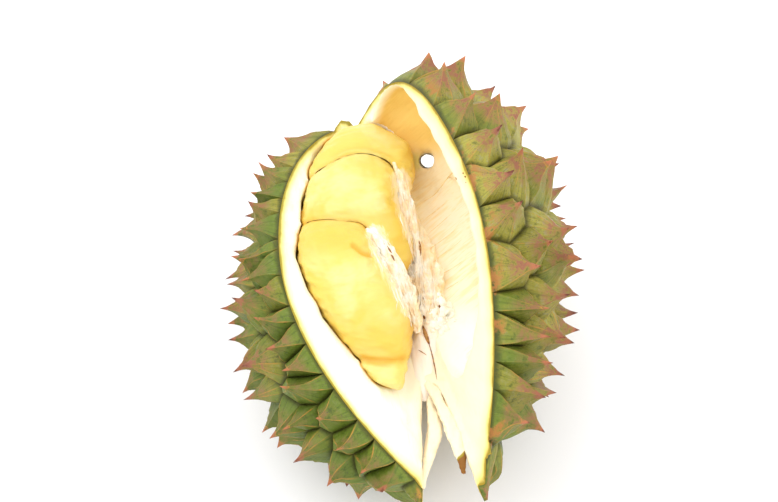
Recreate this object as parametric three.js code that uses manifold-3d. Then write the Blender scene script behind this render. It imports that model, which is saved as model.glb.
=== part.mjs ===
// Durian with one valve taken out and the two halves of its husk pried apart about the stem end.
// Millimetres, +Z up, the fruit lies along Y with its stem end at +Y and its split apex at -Y.
import * as THREE from 'three';
import Module from 'manifold-3d';
import { ConvexHull } from 'three/addons/math/ConvexHull.js';
import { ConvexGeometry } from 'three/addons/geometries/ConvexGeometry.js';
import { mergeVertices } from 'three/addons/utils/BufferGeometryUtils.js';

const wasm = await Module();
wasm.setup();

// ---- Driving dimensions -------------------------------------------------------------------------

const HUSK_LENGTH = 222;              // stem end to apex along the axis of one half
const SPLAY = 3.55;                   // degrees that each half is turned out about the stem end
const STEM_RISE = 4;                  // degrees that the axis rises towards the stem end
const LEFT_RIM = 148;                 // degrees round the axis, from +X over the top
const RIGHT_RIM = 66;
const BACK_SEAM = 285;                // the seam under the fruit, where the halves part at the apex
const STEM_POINT = [-4.3, 106.3, 85];   // the stem end; the lowest spine tips are cut flat at z = 0

const LEFT_SPINES = { pitch: 19.5, height: 16.5 };
const RIGHT_SPINES = { pitch: 23, height: 19 };
const SPINE_SPREAD = 0.12;            // random share of a spine's height
const SPINE_LEAN = 0.20;              // random sideways lean, as a share of the height
const FLANK_AT = 0.64;                // where a flank bends, from the valley (0) to the tip (1)
const FLANK_RISE = 0.57;              // share of the height that the flank has reached there
const CORNER_BIAS = 2;                // pull of a cell's corner from its triangle's middle to its true centre
const RANDOM_SEED = 4711;

// The opening is looked into from OPENING_TURN degrees left of -Y and OPENING_TILT degrees up. Places
// in it are [across, up, lift]: across to the right, up towards the stem end, and lift towards the
// viewer from the sloping plane that holds both axes.
const OPENING_TURN = 12.75;
const OPENING_TILT = 50;
const OPENING_SLOPE = 0.726;

const CHAMBER_WALL_DEPTH = 26;        // how far each seed chamber sinks below its rim's plane
const PULP_LIFT = 18;
const PULP_CROWN = 24;                // a pulp segment's thickness to either side of its outline
const GAP = 0.4;                      // clearance round each pulp segment
const CHAMBER_EASE = 1.2;             // how much wider the left chamber is than the pulp in it
const HOLE_RADIUS = 4.3;
const FULLNESS = 0.8;                 // 1 makes a rounded solid's section an ellipse; less is fuller
const PULP_TILT = 0.3;                // how much a pulp segment rises towards its stem end

// Meridians of the husk between its spines: degrees round the axis, greatest radius, how far along it
// is widest (-1 apex, 1 stem end), and how blunt each end is (a smaller power is blunter).
const MERIDIANS = [
  { at: 10, radius: 76.5, widest: 0.30, apex: 1.22, stem: 0.22 },
  { at: RIGHT_RIM, radius: 72.5, widest: 0.16, apex: 0.92, stem: 0.27 },
  { at: LEFT_RIM, radius: 62.5, widest: 0.0, apex: 0.95, stem: 0.66 },
  { at: 190, radius: 68, widest: -0.09, apex: 0.72, stem: 0.60 },
  { at: 275, radius: 68, widest: 0.05, apex: 0.85, stem: 0.36 },
];

// ---- Small helpers ------------------------------------------------------------------------------

const rad = THREE.MathUtils.degToRad;
const smooth = THREE.MathUtils.smoothstep;
const lerp = THREE.MathUtils.lerp;
const vec = (x, y, z) => new THREE.Vector3(x, y, z);

function randomStream(seed) {
  let state = seed;
  return () => {
    state = (state * 16807) % 2147483647;
    return state / 2147483647;
  };
}

function solidOf(geometry) {
  const bare = geometry.index ? geometry.toNonIndexed() : geometry.clone();
  bare.deleteAttribute('normal');
  bare.deleteAttribute('uv');
  const merged = mergeVertices(bare, 1e-4);
  const index = merged.index.array;
  const triangles = [];
  for (let i = 0; i < index.length; i += 3) {
    const [a, b, c] = [index[i], index[i + 1], index[i + 2]];
    if (a !== b && b !== c && c !== a) triangles.push(a, b, c);
  }
  return new wasm.Manifold(new wasm.Mesh({
    numProp: 3,
    vertProperties: new Float32Array(merged.attributes.position.array),
    triVerts: new Uint32Array(triangles),
  }));
}

function geometryOf(solid) {
  const mesh = solid.getMesh();
  const geometry = new THREE.BufferGeometry();
  geometry.setAttribute('position', new THREE.BufferAttribute(new Float32Array(mesh.vertProperties), 3));
  geometry.setIndex(new THREE.BufferAttribute(new Uint32Array(mesh.triVerts), 1));
  return geometry;
}

// ---- The husk's surface -------------------------------------------------------------------------

const HALF_LENGTH = HUSK_LENGTH / 2;
const FULL_TURN = 360;
const wrap = (degrees) => ((degrees % FULL_TURN) + FULL_TURN) % FULL_TURN;

// Axis (apex to stem end), right and up of a half whose axis is turned by `turn` degrees.
function halfFrame(turn) {
  const [yaw, rise] = [rad(turn), rad(STEM_RISE)];
  const axis = vec(Math.sin(yaw) * Math.cos(rise), Math.cos(yaw) * Math.cos(rise), Math.sin(rise));
  const right = vec(Math.cos(yaw), -Math.sin(yaw), 0);
  return { axis, right, up: right.clone().cross(axis) };
}

const LEFT_HALF = halfFrame(SPLAY);
const RIGHT_HALF = halfFrame(-SPLAY);

// Unit vector square to a half's axis, `degrees` round it.
function radial(half, degrees) {
  return half.right.clone().multiplyScalar(Math.cos(rad(degrees)))
    .addScaledVector(half.up, Math.sin(rad(degrees)));
}

// A point of a half: distance from the stem end along the axis, and offset from the axis.
function inHalf(half, along, degrees, out) {
  return vec(...STEM_POINT).addScaledVector(half.axis, -along).addScaledVector(radial(half, degrees), out);
}

const RIM_BLEND = 20;                 // degrees to each side over which the front turns from half to half
const SEAM_BLEND = 30;

// 1 on the left half, 0 on the right half, and between them a smooth passage.
function leftShare(degrees) {
  const middle = (LEFT_RIM + RIGHT_RIM) / 2;
  const round = wrap(degrees);
  const fromRight = smooth(round, middle - RIM_BLEND, middle + RIM_BLEND);
  return fromRight * (1 - smooth(round, BACK_SEAM - SEAM_BLEND, BACK_SEAM + SEAM_BLEND));
}

const turnAt = (degrees) => SPLAY * (2 * leftShare(degrees) - 1);

function meridianAt(degrees) {
  const count = MERIDIANS.length;
  for (let i = 0; i < count; i += 1) {
    const from = MERIDIANS[i];
    const to = MERIDIANS[(i + 1) % count];
    const span = wrap(to.at - from.at);
    const step = wrap(degrees - from.at);
    if (step <= span) {
      const t = smooth(step, 0, span);
      return {
        radius: lerp(from.radius, to.radius, t),
        widest: lerp(from.widest, to.widest, t),
        apex: lerp(from.apex, to.apex, t),
        stem: lerp(from.stem, to.stem, t),
      };
    }
  }
  return MERIDIANS[0];
}

function profile(meridian, s) {
  const toStem = s > meridian.widest;
  const reach = toStem ? 1 - meridian.widest : 1 + meridian.widest;
  const x = (s - meridian.widest) / reach;
  return meridian.radius * Math.max(0, 1 - x * x) ** (toStem ? meridian.stem : meridian.apex);
}

// Surface between the spines: s runs from -1 at the apex to 1 at the stem end.
function huskPoint(s, degrees) {
  const round = wrap(degrees);
  return inHalf(halfFrame(turnAt(round)), (1 - s) * HALF_LENGTH, round, profile(meridianAt(round), s));
}

const PROBE = 0.004;
const PROBE_DEGREES = 0.5;

function tangents(s, degrees) {
  const low = Math.max(-1, s - PROBE);
  const high = Math.min(1, s + PROBE);
  return {
    along: huskPoint(high, degrees).sub(huskPoint(low, degrees)).divideScalar(high - low),
    round: huskPoint(s, degrees + PROBE_DEGREES).sub(huskPoint(s, degrees - PROBE_DEGREES))
      .divideScalar(2 * PROBE_DEGREES),
  };
}

function huskNormal(s, degrees) {
  const { along, round } = tangents(s, degrees);
  return along.cross(round).normalize();
}

// ---- Angle-true map between the husk and a unit sphere -------------------------------------------

const MEAN = {
  radius: MERIDIANS.reduce((sum, m) => sum + m.radius, 0) / MERIDIANS.length,
  widest: MERIDIANS.reduce((sum, m) => sum + m.widest, 0) / MERIDIANS.length,
  apex: MERIDIANS.reduce((sum, m) => sum + m.apex, 0) / MERIDIANS.length,
  stem: MERIDIANS.reduce((sum, m) => sum + m.stem, 0) / MERIDIANS.length,
};

const MAP_STEPS = 600;
const MAP_END = 0.02;                 // radians short of each pole
const sphereMap = buildSphereMap();

// For steps of s: the isometric latitude (Mercator height) and the area from the apex on.
function buildSphereMap() {
  const rows = [];
  let [height, area] = [0, 0];
  let heightAtWidest = 0;
  for (let i = 0; i <= MAP_STEPS; i += 1) {
    const latitude = lerp(-Math.PI / 2 + MAP_END, Math.PI / 2 - MAP_END, i / MAP_STEPS);
    const s = Math.sin(latitude);
    const radius = profile(MEAN, s);
    if (i > 0) {
      const last = rows[i - 1];
      const step = Math.hypot((s - last.s) * HALF_LENGTH, radius - last.radius);
      const middle = (radius + last.radius) / 2;
      height += step / middle;
      area += step * middle;
      if (s <= MEAN.widest) heightAtWidest = height;
    }
    rows.push({ s, radius, height, area });
  }
  rows.forEach((row) => { row.height -= heightAtWidest; });
  return rows;
}

// Reads column `out` of the map at `value` of column `by`.
function readMap(by, value, out) {
  let low = 0;
  let high = MAP_STEPS;
  while (high - low > 1) {
    const middle = (low + high) >> 1;
    if (sphereMap[middle][by] <= value) low = middle;
    else high = middle;
  }
  const [a, b] = [sphereMap[low], sphereMap[high]];
  const t = THREE.MathUtils.clamp((value - a[by]) / (b[by] - a[by]), 0, 1);
  return lerp(a[out], b[out], t);
}

function toSphere(s, degrees) {
  const latitude = 2 * Math.atan(Math.exp(readMap('s', s, 'height'))) - Math.PI / 2;
  const ring = Math.cos(latitude);
  return vec(ring * Math.cos(rad(degrees)), Math.sin(latitude), ring * Math.sin(rad(degrees)));
}

function fromSphere(direction) {
  const unit = direction.clone().normalize();
  const height = Math.atanh(THREE.MathUtils.clamp(unit.y, -0.99999, 0.99999));
  const degrees = THREE.MathUtils.radToDeg(Math.atan2(unit.z, unit.x));
  return { s: readMap('height', height, 's'), degrees: wrap(degrees) };
}

// ---- Spines: where they stand -------------------------------------------------------------------

const KEPT_FROM = LEFT_RIM;
const KEPT_TO = RIGHT_RIM + FULL_TURN;
const POLE_LIMIT = 0.992;
const RELAX_ROUNDS = 40;
const RELAX_REACH = 1.45;             // in spine pitches
const RELAX_STEP = 0.30;              // in spine pitches
const POLE_SHRINK = 0.3;              // share that spines are shorter at both ends of the husk

const pitchAt = (degrees) => lerp(RIGHT_SPINES.pitch, LEFT_SPINES.pitch, leftShare(degrees));
const heightAt = (degrees) => lerp(RIGHT_SPINES.height, LEFT_SPINES.height, leftShare(degrees));

// How many spines stand between the left rim and each whole degree of the kept husk.
function spineCounts() {
  const counts = [0];
  const areaOfDegree = (2 * Math.PI * sphereMap[MAP_STEPS].area) / FULL_TURN;
  for (let degrees = KEPT_FROM; degrees < KEPT_TO; degrees += 1) {
    const cell = (pitchAt(degrees + 0.5) ** 2 * Math.sqrt(3)) / 2;
    counts.push(counts[counts.length - 1] + areaOfDegree / cell);
  }
  return counts;
}

// Evenly spaced stations on the kept husk. Each is pushed away from its neighbours and from their
// mirror images beyond both rims, so that each rim runs in a valley between two rows.
function spineStations() {
  const random = randomStream(RANDOM_SEED);
  const counts = spineCounts();
  const count = Math.round(counts[counts.length - 1]);
  const golden = (Math.sqrt(5) - 1) / 2;
  const stations = [];
  for (let i = 0; i < count; i += 1) {
    const share = ((i + 0.5) / count) * sphereMap[MAP_STEPS].area;
    const wanted = ((i * golden + random() * 0.02) % 1) * counts[counts.length - 1];
    const step = counts.findIndex((value) => value > wanted) - 1;
    const part = (wanted - counts[step]) / (counts[step + 1] - counts[step]);
    stations.push({ s: readMap('area', share, 's'), degrees: KEPT_FROM + step + part });
  }
  for (let round = 0; round < RELAX_ROUNDS; round += 1) relax(stations);
  return stations;
}

function mirrorImages(station) {
  return [
    { s: station.s, degrees: 2 * KEPT_FROM - station.degrees },
    { s: station.s, degrees: 2 * KEPT_TO - station.degrees },
  ];
}

function relax(stations) {
  const points = stations.map(({ s, degrees }) => huskPoint(s, degrees));
  const ghosts = stations.flatMap(mirrorImages).map(({ s, degrees }) => huskPoint(s, degrees));
  const all = points.concat(ghosts);
  const moves = points.map((point, i) => {
    const pitch = pitchAt(stations[i].degrees);
    const reach = RELAX_REACH * pitch;
    const push = vec(0, 0, 0);
    all.forEach((other) => {
      const away = point.clone().sub(other);
      const distance = away.length();
      if (distance < 1e-6 || distance > reach) return;
      push.addScaledVector(away, (1 - distance / reach) ** 2 / distance);
    });
    return push.multiplyScalar(RELAX_STEP * pitch);
  });
  stations.forEach((station, i) => {
    const { along, round } = tangents(station.s, station.degrees);
    const s = station.s + moves[i].dot(along) / along.lengthSq();
    const degrees = station.degrees + moves[i].dot(round) / round.lengthSq();
    station.s = THREE.MathUtils.clamp(s, -POLE_LIMIT, POLE_LIMIT);
    station.degrees = THREE.MathUtils.clamp(degrees, KEPT_FROM + 1, KEPT_TO - 1);
  });
}

// Gives each station its spine: the way it points and its height.
function growSpines(stations, kept) {
  const random = randomStream(RANDOM_SEED + 1);
  return stations.map(({ s, degrees }) => {
    const lean = vec(random() - 0.5, random() - 0.5, random() - 0.5).multiplyScalar(2 * SPINE_LEAN);
    const spread = 1 + SPINE_SPREAD * (2 * random() - 1);
    const height = heightAt(degrees) * spread * (1 - POLE_SHRINK * s ** 8);
    const rise = huskNormal(s, degrees).add(lean).normalize().multiplyScalar(height);
    return { direction: toSphere(s, degrees), rise, kept };
  });
}

// ---- The closed spiny body ----------------------------------------------------------------------

function spinyBody() {
  const kept = spineStations();
  const spines = growSpines(kept, true);
  const middle = (LEFT_RIM + RIGHT_RIM) / 2;
  const front = kept.flatMap((station) => {
    const [left, right] = mirrorImages(station);
    return [
      ...(left.degrees > middle ? [left] : []),
      ...(right.degrees < middle + FULL_TURN ? [right] : []),
    ];
  });
  growSpines(front, false).forEach((spine) => spines.push(spine));

  const owner = new Map(spines.map((spine) => [spine.direction, spine]));
  const hull = new ConvexHull().setFromPoints([...owner.keys()]);
  const positions = [];
  // Where three cells meet. Beside a rim it is the true centre, which lies on the rim itself.
  const cellCorner = (face) => {
    const keeps = [0, 1, 2].map((i) => owner.get(face.getEdge(i).head().point).kept);
    if (keeps.includes(true) && keeps.includes(false)) return face.normal.clone();
    return face.midpoint.clone().normalize().addScaledVector(face.normal, CORNER_BIAS).normalize();
  };
  const onSpine = (spine, corner, share, rise) => {
    const { s, degrees } = fromSphere(spine.direction.clone().lerp(corner, 1 - share));
    return huskPoint(s, degrees).addScaledVector(spine.rise, rise);
  };
  const add = (...points) => points.forEach((point) => positions.push(point.x, point.y, point.z));
  hull.faces.forEach((face) => {
    let edge = face.edge;
    do {
      const spine = owner.get(edge.tail().point);
      const [p, q] = [cellCorner(edge.twin.face), cellCorner(face)];
      const tip = onSpine(spine, p, 1, 1);
      const [footP, footQ] = [p, q].map((corner) => onSpine(spine, corner, 0, 0));
      const [flankP, flankQ] = [p, q].map((corner) => onSpine(spine, corner, FLANK_AT, FLANK_RISE));
      add(tip, flankP, flankQ);
      add(flankP, footP, footQ);
      add(flankP, footQ, flankQ);
      edge = edge.next;
    } while (edge !== face.edge);
  });
  const geometry = new THREE.BufferGeometry();
  geometry.setAttribute('position', new THREE.BufferAttribute(new Float32Array(positions), 3));
  return geometry;
}

// ---- Places in the opening ----------------------------------------------------------------------

const OPENING = (() => {
  const [turn, tilt] = [rad(OPENING_TURN), rad(OPENING_TILT)];
  return {
    across: vec(Math.cos(turn), -Math.sin(turn), 0),
    up: vec(Math.sin(turn) * Math.sin(tilt), Math.cos(turn) * Math.sin(tilt), Math.cos(tilt)),
    out: vec(-Math.sin(turn) * Math.cos(tilt), -Math.cos(turn) * Math.cos(tilt), Math.sin(tilt)),
  };
})();

function inOpening(across, up, lift) {
  return vec(...STEM_POINT).addScaledVector(OPENING.across, across).addScaledVector(OPENING.up, up)
    .addScaledVector(OPENING.out, lift - OPENING_SLOPE * up);
}

// ---- Rounded solids -----------------------------------------------------------------------------

// A sphere's net with every vertex moved to pointAt(turn 0..1, fall 0..1 from pole to pole).
function roundSolid(pointAt, sides, rings) {
  const sphere = new THREE.SphereGeometry(1, sides, rings);
  const position = sphere.attributes.position;
  for (let ring = 0; ring <= rings; ring += 1) {
    for (let side = 0; side <= sides; side += 1) {
      const polar = ring === 0 || ring === rings;
      const point = pointAt(polar ? 0 : (side % sides) / sides, ring / rings);
      position.setXYZ(ring * (sides + 1) + side, point.x, point.y, point.z);
    }
  }
  const solid = solidOf(sphere);
  if (solid.volume() > 0) return solid;
  sphere.index.array.reverse();
  return solidOf(sphere);
}

// Crowned solid on a closed outline: place(x, y, lift) sets it out. It bulges `front` and `back`, and
// rises by `tilt` along y.
function cushion(outline, place, { front, back, lift, tilt = 0, grow = 0, sides = 28, rings = 16 }) {
  const curve = new THREE.CatmullRomCurve3(outline.map(([x, y]) => vec(x, y, 0)), true, 'centripetal');
  const rim = curve.getSpacedPoints(sides).slice(0, sides);
  const centre = rim.reduce((sum, point) => sum.add(point), vec(0, 0, 0)).divideScalar(sides);
  return roundSolid((turn, fall) => {
    const edge = rim[Math.round(turn * sides) % sides].clone().sub(centre);
    edge.setLength(edge.length() + grow);
    const polar = fall * Math.PI;
    const spread = fall > 0 && fall < 1 ? Math.sin(polar) ** FULLNESS : 0;
    const flat = centre.clone().addScaledVector(edge, spread);
    const crown = Math.cos(polar) > 0 ? front + grow : back + grow;
    const height = Math.sign(Math.cos(polar)) * Math.abs(Math.cos(polar)) ** FULLNESS;
    return place(flat.x, flat.y, lift + crown * height + tilt * (flat.y - centre.y));
  }, sides, rings);
}

// Bent bar through stations { at: [across, up, lift], wide, deep }, its skin in lumps of share `lump`.
function bar(stations, { sides = 8, rings = 10, lump = 0 } = {}) {
  const path = new THREE.CatmullRomCurve3(stations.map(({ at }) => vec(...at)), false, 'centripetal');
  const last = stations.length - 1;
  return roundSolid((turn, fall) => {
    const t = fall * last;
    const i = Math.min(Math.floor(t), last - 1);
    const at = path.getPoint(fall);
    const angle = turn * 2 * Math.PI;
    const bump = 1 + lump * Math.sin(3 * angle + 9 * fall) * Math.sin(26 * fall + 2 * angle);
    const round = fall > 0 && fall < 1 ? bump : 0;
    const wide = round * lerp(stations[i].wide, stations[i + 1].wide, t - i);
    const deep = round * lerp(stations[i].deep, stations[i + 1].deep, t - i);
    return inOpening(at.x + wide * Math.cos(angle), at.y, at.z + deep * Math.sin(angle));
  }, sides, rings);
}

// ---- Pulp ---------------------------------------------------------------------------------------

const PULP_TOP = [[-21, -18], [-17, -11], [-9, -4], [0, 0], [10, 1], [19, -3], [27, -9], [31, -18],
  [31, -30], [24, -42], [6, -47], [-12, -45], [-21, -35], [-23, -26]];
const PULP_MIDDLE = [[-25, -38], [-21, -28], [-13, -21.5], [-4, -17], [4, -15.5], [12, -17], [19, -21],
  [23, -30], [24, -40], [28, -53], [31, -64], [28, -75], [16, -79], [0, -79], [-14, -75], [-24, -64],
  [-27, -50]];
const PULP_LOWER = [[-27.5, -62], [-25, -54], [-15, -49], [-3, -48.5], [5, -50], [11, -58], [17, -73],
  [24, -86], [29, -100], [29, -111], [27, -120], [18, -123], [7, -121], [-2, -113.5], [-11, -103.5],
  [-20.5, -88], [-26.5, -74]];
const PULP_END = [[4, -117], [9, -114], [20, -114], [27, -118], [26, -126], [24, -132.5], [16, -131.5],
  [8, -126]];

const pulp = (outline, size, grow = 0) => cushion(outline, inOpening, { lift: PULP_LIFT, ...size, grow });
const TOP_SIZE = { front: PULP_CROWN - 6, back: PULP_CROWN };
const MIDDLE_SIZE = { front: PULP_CROWN, back: PULP_CROWN, tilt: PULP_TILT };
const LOWER_SIZE = { front: PULP_CROWN, back: PULP_CROWN, tilt: PULP_TILT };
const END_SIZE = { front: 11, back: 12, lift: PULP_LIFT - 7, sides: 20, rings: 10 };

function pulpSegments() {
  const lower = pulp(PULP_LOWER, LOWER_SIZE).add(pulp(PULP_END, END_SIZE));
  const lowerRoom = pulp(PULP_LOWER, LOWER_SIZE, GAP).add(pulp(PULP_END, END_SIZE, GAP));
  const middle = pulp(PULP_MIDDLE, MIDDLE_SIZE).subtract(lowerRoom);
  const middleRoom = pulp(PULP_MIDDLE, MIDDLE_SIZE, GAP);
  const top = pulp(PULP_TOP, TOP_SIZE).subtract(middleRoom).subtract(lowerRoom);
  const room = [pulp(PULP_TOP, TOP_SIZE, CHAMBER_EASE), pulp(PULP_MIDDLE, MIDDLE_SIZE, CHAMBER_EASE),
    pulp(PULP_LOWER, LOWER_SIZE, CHAMBER_EASE), pulp(PULP_END, END_SIZE, GAP)];
  return { top, middle, lower, room };
}

// ---- Hollows of the husk ------------------------------------------------------------------------

const FAR = 200;

// Everything above the two rim planes and the floor between the axes. Past the stem end the axes have
// crossed, so there the wedge begins a little way out from them.
function frontCut() {
  const before = -60;
  const beyond = HUSK_LENGTH + 40;
  const clearOfAxis = 8;
  const corners = [vec(...STEM_POINT)];
  [[LEFT_HALF, LEFT_RIM], [RIGHT_HALF, RIGHT_RIM]].forEach(([half, rim]) => {
    corners.push(inHalf(half, before, rim, clearOfAxis), inHalf(half, before, rim, FAR));
    corners.push(inHalf(half, beyond, rim, 0), inHalf(half, beyond, rim, FAR));
  });
  return solidOf(new ConvexGeometry(corners));
}

// The empty seed chamber: outline in the right rim's plane as [distance from the stem end, from the axis].
const CHAMBER = [[6, 22], [5, 38], [18, 49], [45, 54], [70, 57.5], [98, 60.5], [120, 57.5], [142, 48],
  [158, 34], [168, 20], [170, 8], [160, 3], [130, 4], [90, 5], [50, 5], [17, 8]];

function emptyChamber() {
  const normal = RIGHT_HALF.axis.clone().cross(radial(RIGHT_HALF, RIGHT_RIM));
  const place = (along, out, lift) => inHalf(RIGHT_HALF, along, RIGHT_RIM, out).addScaledVector(normal, lift);
  return cushion(CHAMBER, place, { front: CHAMBER_WALL_DEPTH, back: CHAMBER_WALL_DEPTH, lift: 0, sides: 32 });
}

// The wedge between the halves where they have split at the apex: [across, up] outline, cut right through.
const SPLIT = [[35, -132], [33.5, -150], [34, -178], [30, -215], [75, -215], [59.8, -176], [53.8, -161],
  [50.2, -151], [45.8, -141], [41.8, -132.6]];

function splitCut() {
  const shape = new THREE.Shape(SPLIT.map(([x, y]) => new THREE.Vector2(x, y)));
  const prism = new THREE.ExtrudeGeometry(shape, { depth: 2 * FAR, bevelEnabled: false });
  const position = prism.attributes.position;
  for (let i = 0; i < position.count; i += 1) {
    const point = inOpening(position.getX(i), position.getY(i), position.getZ(i) - FAR);
    position.setXYZ(i, point.x, point.y, point.z);
  }
  return solidOf(prism);
}

const HOLE_INSIDE = [38.2, -19.9, 30.55];
const HOLE_OUTSIDE = [42.7, -9.4, -156.82];
const HOLE_SIDES = 12;

// A wormhole from the floor of the empty chamber out through the rind behind it.
function wormHole() {
  const [from, to] = [HOLE_INSIDE, HOLE_OUTSIDE].map((end) => inOpening(...end));
  const drill = new THREE.CylinderGeometry(HOLE_RADIUS, HOLE_RADIUS, from.distanceTo(to), HOLE_SIDES);
  const run = from.clone().sub(to).normalize();
  drill.applyQuaternion(new THREE.Quaternion().setFromUnitVectors(vec(0, 1, 0), run));
  const middle = from.clone().add(to).divideScalar(2);
  drill.translate(middle.x, middle.y, middle.z);
  return solidOf(drill);
}

// ---- Torn core and strips -----------------------------------------------------------------------

const CORE_LUMPS = 0.22;              // height of its lumps, as a share of its half width
const CORE = [
  { at: [27, -34, -2], wide: 2, deep: 2 },
  { at: [29, -50, 1], wide: 5, deep: 5 },
  { at: [32, -68, 3], wide: 9, deep: 7 },
  { at: [35, -84, 3], wide: 12, deep: 9 },
  { at: [38, -98, 2], wide: 12, deep: 9 },
  { at: [36, -114, 0], wide: 9, deep: 7 },
  { at: [35, -130, -3], wide: 7, deep: 6 },
  { at: [36, -140, -8], wide: 2, deep: 3 },
];
const FLAP = [
  { at: [36, -124, -6], wide: 4, deep: 4 },
  { at: [39, -134, -3], wide: 5, deep: 4 },
  { at: [44, -143, -2], wide: 4.6, deep: 3.5 },
  { at: [47.5, -153, -3], wide: 3.8, deep: 3 },
  { at: [50, -161, -5], wide: 3.2, deep: 2.6 },
  { at: [52, -169, -8], wide: 1, deep: 1 },
];
const SLIVER = [
  { at: [37, -124, -14], wide: 3, deep: 5 },
  { at: [38, -135, -9], wide: 3.5, deep: 6 },
  { at: [40, -147, -9], wide: 3.2, deep: 6 },
  { at: [38, -160, -10], wide: 3.4, deep: 5.5 },
  { at: [35.5, -170, -12], wide: 2.6, deep: 4 },
  { at: [34, -177, -14], wide: 0.8, deep: 1.5 },
];

// ---- The husk -----------------------------------------------------------------------------------

function largestPiece(solid) {
  const pieces = solid.decompose();
  return pieces.reduce((best, piece) => (piece.volume() > best.volume() ? piece : best));
}

function belowGround() {
  const slab = new THREE.BoxGeometry(2 * FAR, 2 * FAR, FAR);
  slab.translate(0, 0, -FAR / 2);
  return solidOf(slab);
}

function husk(room) {
  let solid = solidOf(spinyBody());
  solid = solid.subtract(frontCut()).subtract(emptyChamber()).subtract(splitCut());
  solid = solid.add(bar(CORE, { sides: 16, rings: 24, lump: CORE_LUMPS })).add(bar(FLAP)).add(bar(SLIVER));
  room.forEach((segment) => { solid = solid.subtract(segment); });
  return largestPiece(solid.subtract(wormHole()).subtract(belowGround()));
}

// ---- The part -----------------------------------------------------------------------------------

const FINISHES = {
  husk: new THREE.MeshStandardMaterial({ color: 0x8a8434, roughness: 0.75, metalness: 0 }),
  pulp: new THREE.MeshStandardMaterial({ color: 0xfde98a, roughness: 0.45, metalness: 0 }),
};

function node(name, solid, finish) {
  const mesh = new THREE.Mesh(geometryOf(solid), FINISHES[finish]);
  mesh.name = name;
  return mesh;
}

const { top, middle, lower, room } = pulpSegments();
const durian = new THREE.Group();
durian.add(node('husk', husk(room), 'husk'));
durian.add(node('aril_top', largestPiece(top), 'pulp'));
durian.add(node('aril_middle', largestPiece(middle), 'pulp'));
durian.add(node('aril_lower', largestPiece(lower), 'pulp'));
export default durian;
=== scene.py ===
"""Dresses an opened durian: a spiny husk with one valve gone, pulp in one chamber, the other bare."""
from __future__ import annotations

import logging
import math
import sys
from dataclasses import dataclass
from enum import Enum
from functools import cached_property, reduce
from typing import Callable, Iterable, Sequence

import bmesh
import bpy
import numpy as np
from mathutils import Matrix, Vector
from mathutils.bvhtree import BVHTree
from mathutils.kdtree import KDTree

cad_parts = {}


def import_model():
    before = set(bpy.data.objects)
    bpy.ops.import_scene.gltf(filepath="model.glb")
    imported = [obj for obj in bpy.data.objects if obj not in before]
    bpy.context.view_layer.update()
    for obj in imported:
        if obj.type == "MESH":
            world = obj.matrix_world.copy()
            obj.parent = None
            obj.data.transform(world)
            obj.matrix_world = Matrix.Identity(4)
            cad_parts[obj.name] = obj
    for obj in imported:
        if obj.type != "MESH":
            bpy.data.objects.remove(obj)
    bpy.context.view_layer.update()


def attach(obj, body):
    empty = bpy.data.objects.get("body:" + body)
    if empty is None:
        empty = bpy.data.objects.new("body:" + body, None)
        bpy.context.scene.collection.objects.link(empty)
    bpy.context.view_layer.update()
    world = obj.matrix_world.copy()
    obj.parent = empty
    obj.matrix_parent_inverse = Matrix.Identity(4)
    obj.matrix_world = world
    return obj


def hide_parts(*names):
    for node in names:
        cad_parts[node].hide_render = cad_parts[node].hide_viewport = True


log = logging.getLogger("durian")

Array = np.ndarray
Material, Mesh, Piece = bpy.types.Material, bpy.types.Mesh, bpy.types.Object
Net, Vert = bmesh.types.BMesh, bmesh.types.BMVert
Span = tuple[float, float]
Point = tuple[float, float, float]
MM = 0.001
FULL_TURN = 360.0


class Slot(Enum):
    """Material slots of the part's record."""

    RIND = "rind"
    PITH = "pith"
    FIBRE = "fibre"
    PULP = "pulp"


class Cut(Enum):
    """Ways in which one solid changes another."""

    TAKE_AWAY = "DIFFERENCE"
    JOIN = "UNION"


# ---- Arithmetic on rows of points ----


def smooth(value: Array | float, low: float, high: float) -> Array | float:
    """Eases a value from 0 at low to 1 at high.

    Args:
        value: One number or an array.
        low: Where the result leaves 0.
        high: Where the result reaches 1.

    Returns:
        The eased value, in the shape of value.
    """
    share = np.clip((value - low) / (high - low), 0.0, 1.0)
    return share * share * (3.0 - 2.0 * share)


def unit(rows: Array) -> Array:
    """Returns rows of vectors at length one."""
    return rows / np.maximum(np.linalg.norm(rows, axis=-1, keepdims=True), 1e-12)


def ripple(points: Array, wavelength: float, seed: int, waves: int = 14) -> Array:
    """Smooth, repeatable unevenness: a sum of sine waves that run in scattered directions.

    Args:
        points: Rows of places.
        wavelength: Typical length of one wave, in the units of the points.
        seed: Start of the random stream, one per pattern.
        waves: How many waves are summed.

    Returns:
        One value for each point, mostly between -1 and 1.
    """
    random = np.random.default_rng(seed)
    directions = unit(random.normal(size=(waves, 3)))
    lengths = wavelength * random.uniform(0.7, 1.5, waves)
    phases = random.uniform(0.0, math.tau, waves)
    angles = (points @ directions.T) * (math.tau / lengths) + phases
    return np.sin(angles).sum(axis=1) / math.sqrt(waves)


@dataclass(frozen=True)
class Wave:
    """Smooth unevenness: its height and typical wavelength, and the seed of its random stream."""

    height: float
    length: float
    seed: int

    def at(self, points: Array) -> Array:
        """Returns the unevenness at rows of points."""
        return self.height * ripple(points, self.length, self.seed)


def relief(points: Array, waves: Iterable[Wave]) -> Array:
    """Returns the sum of several waves at rows of points."""
    return sum(wave.at(points) for wave in waves)


def between(rows: Array, share: Array) -> Array:
    """Returns places on the way through rows, from the first (share 0) to the last (share 1)."""
    steps = share * (len(rows) - 1)
    return np.stack([np.interp(steps, np.arange(len(rows)), column) for column in rows.T], -1)


# ---- Meshes ----


def mesh_rows(mesh: Mesh) -> Array:
    """Returns the vertex places of a mesh as rows."""
    rows = np.empty(len(mesh.vertices) * 3)
    mesh.vertices.foreach_get("co", rows)
    return rows.reshape(-1, 3)


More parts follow.
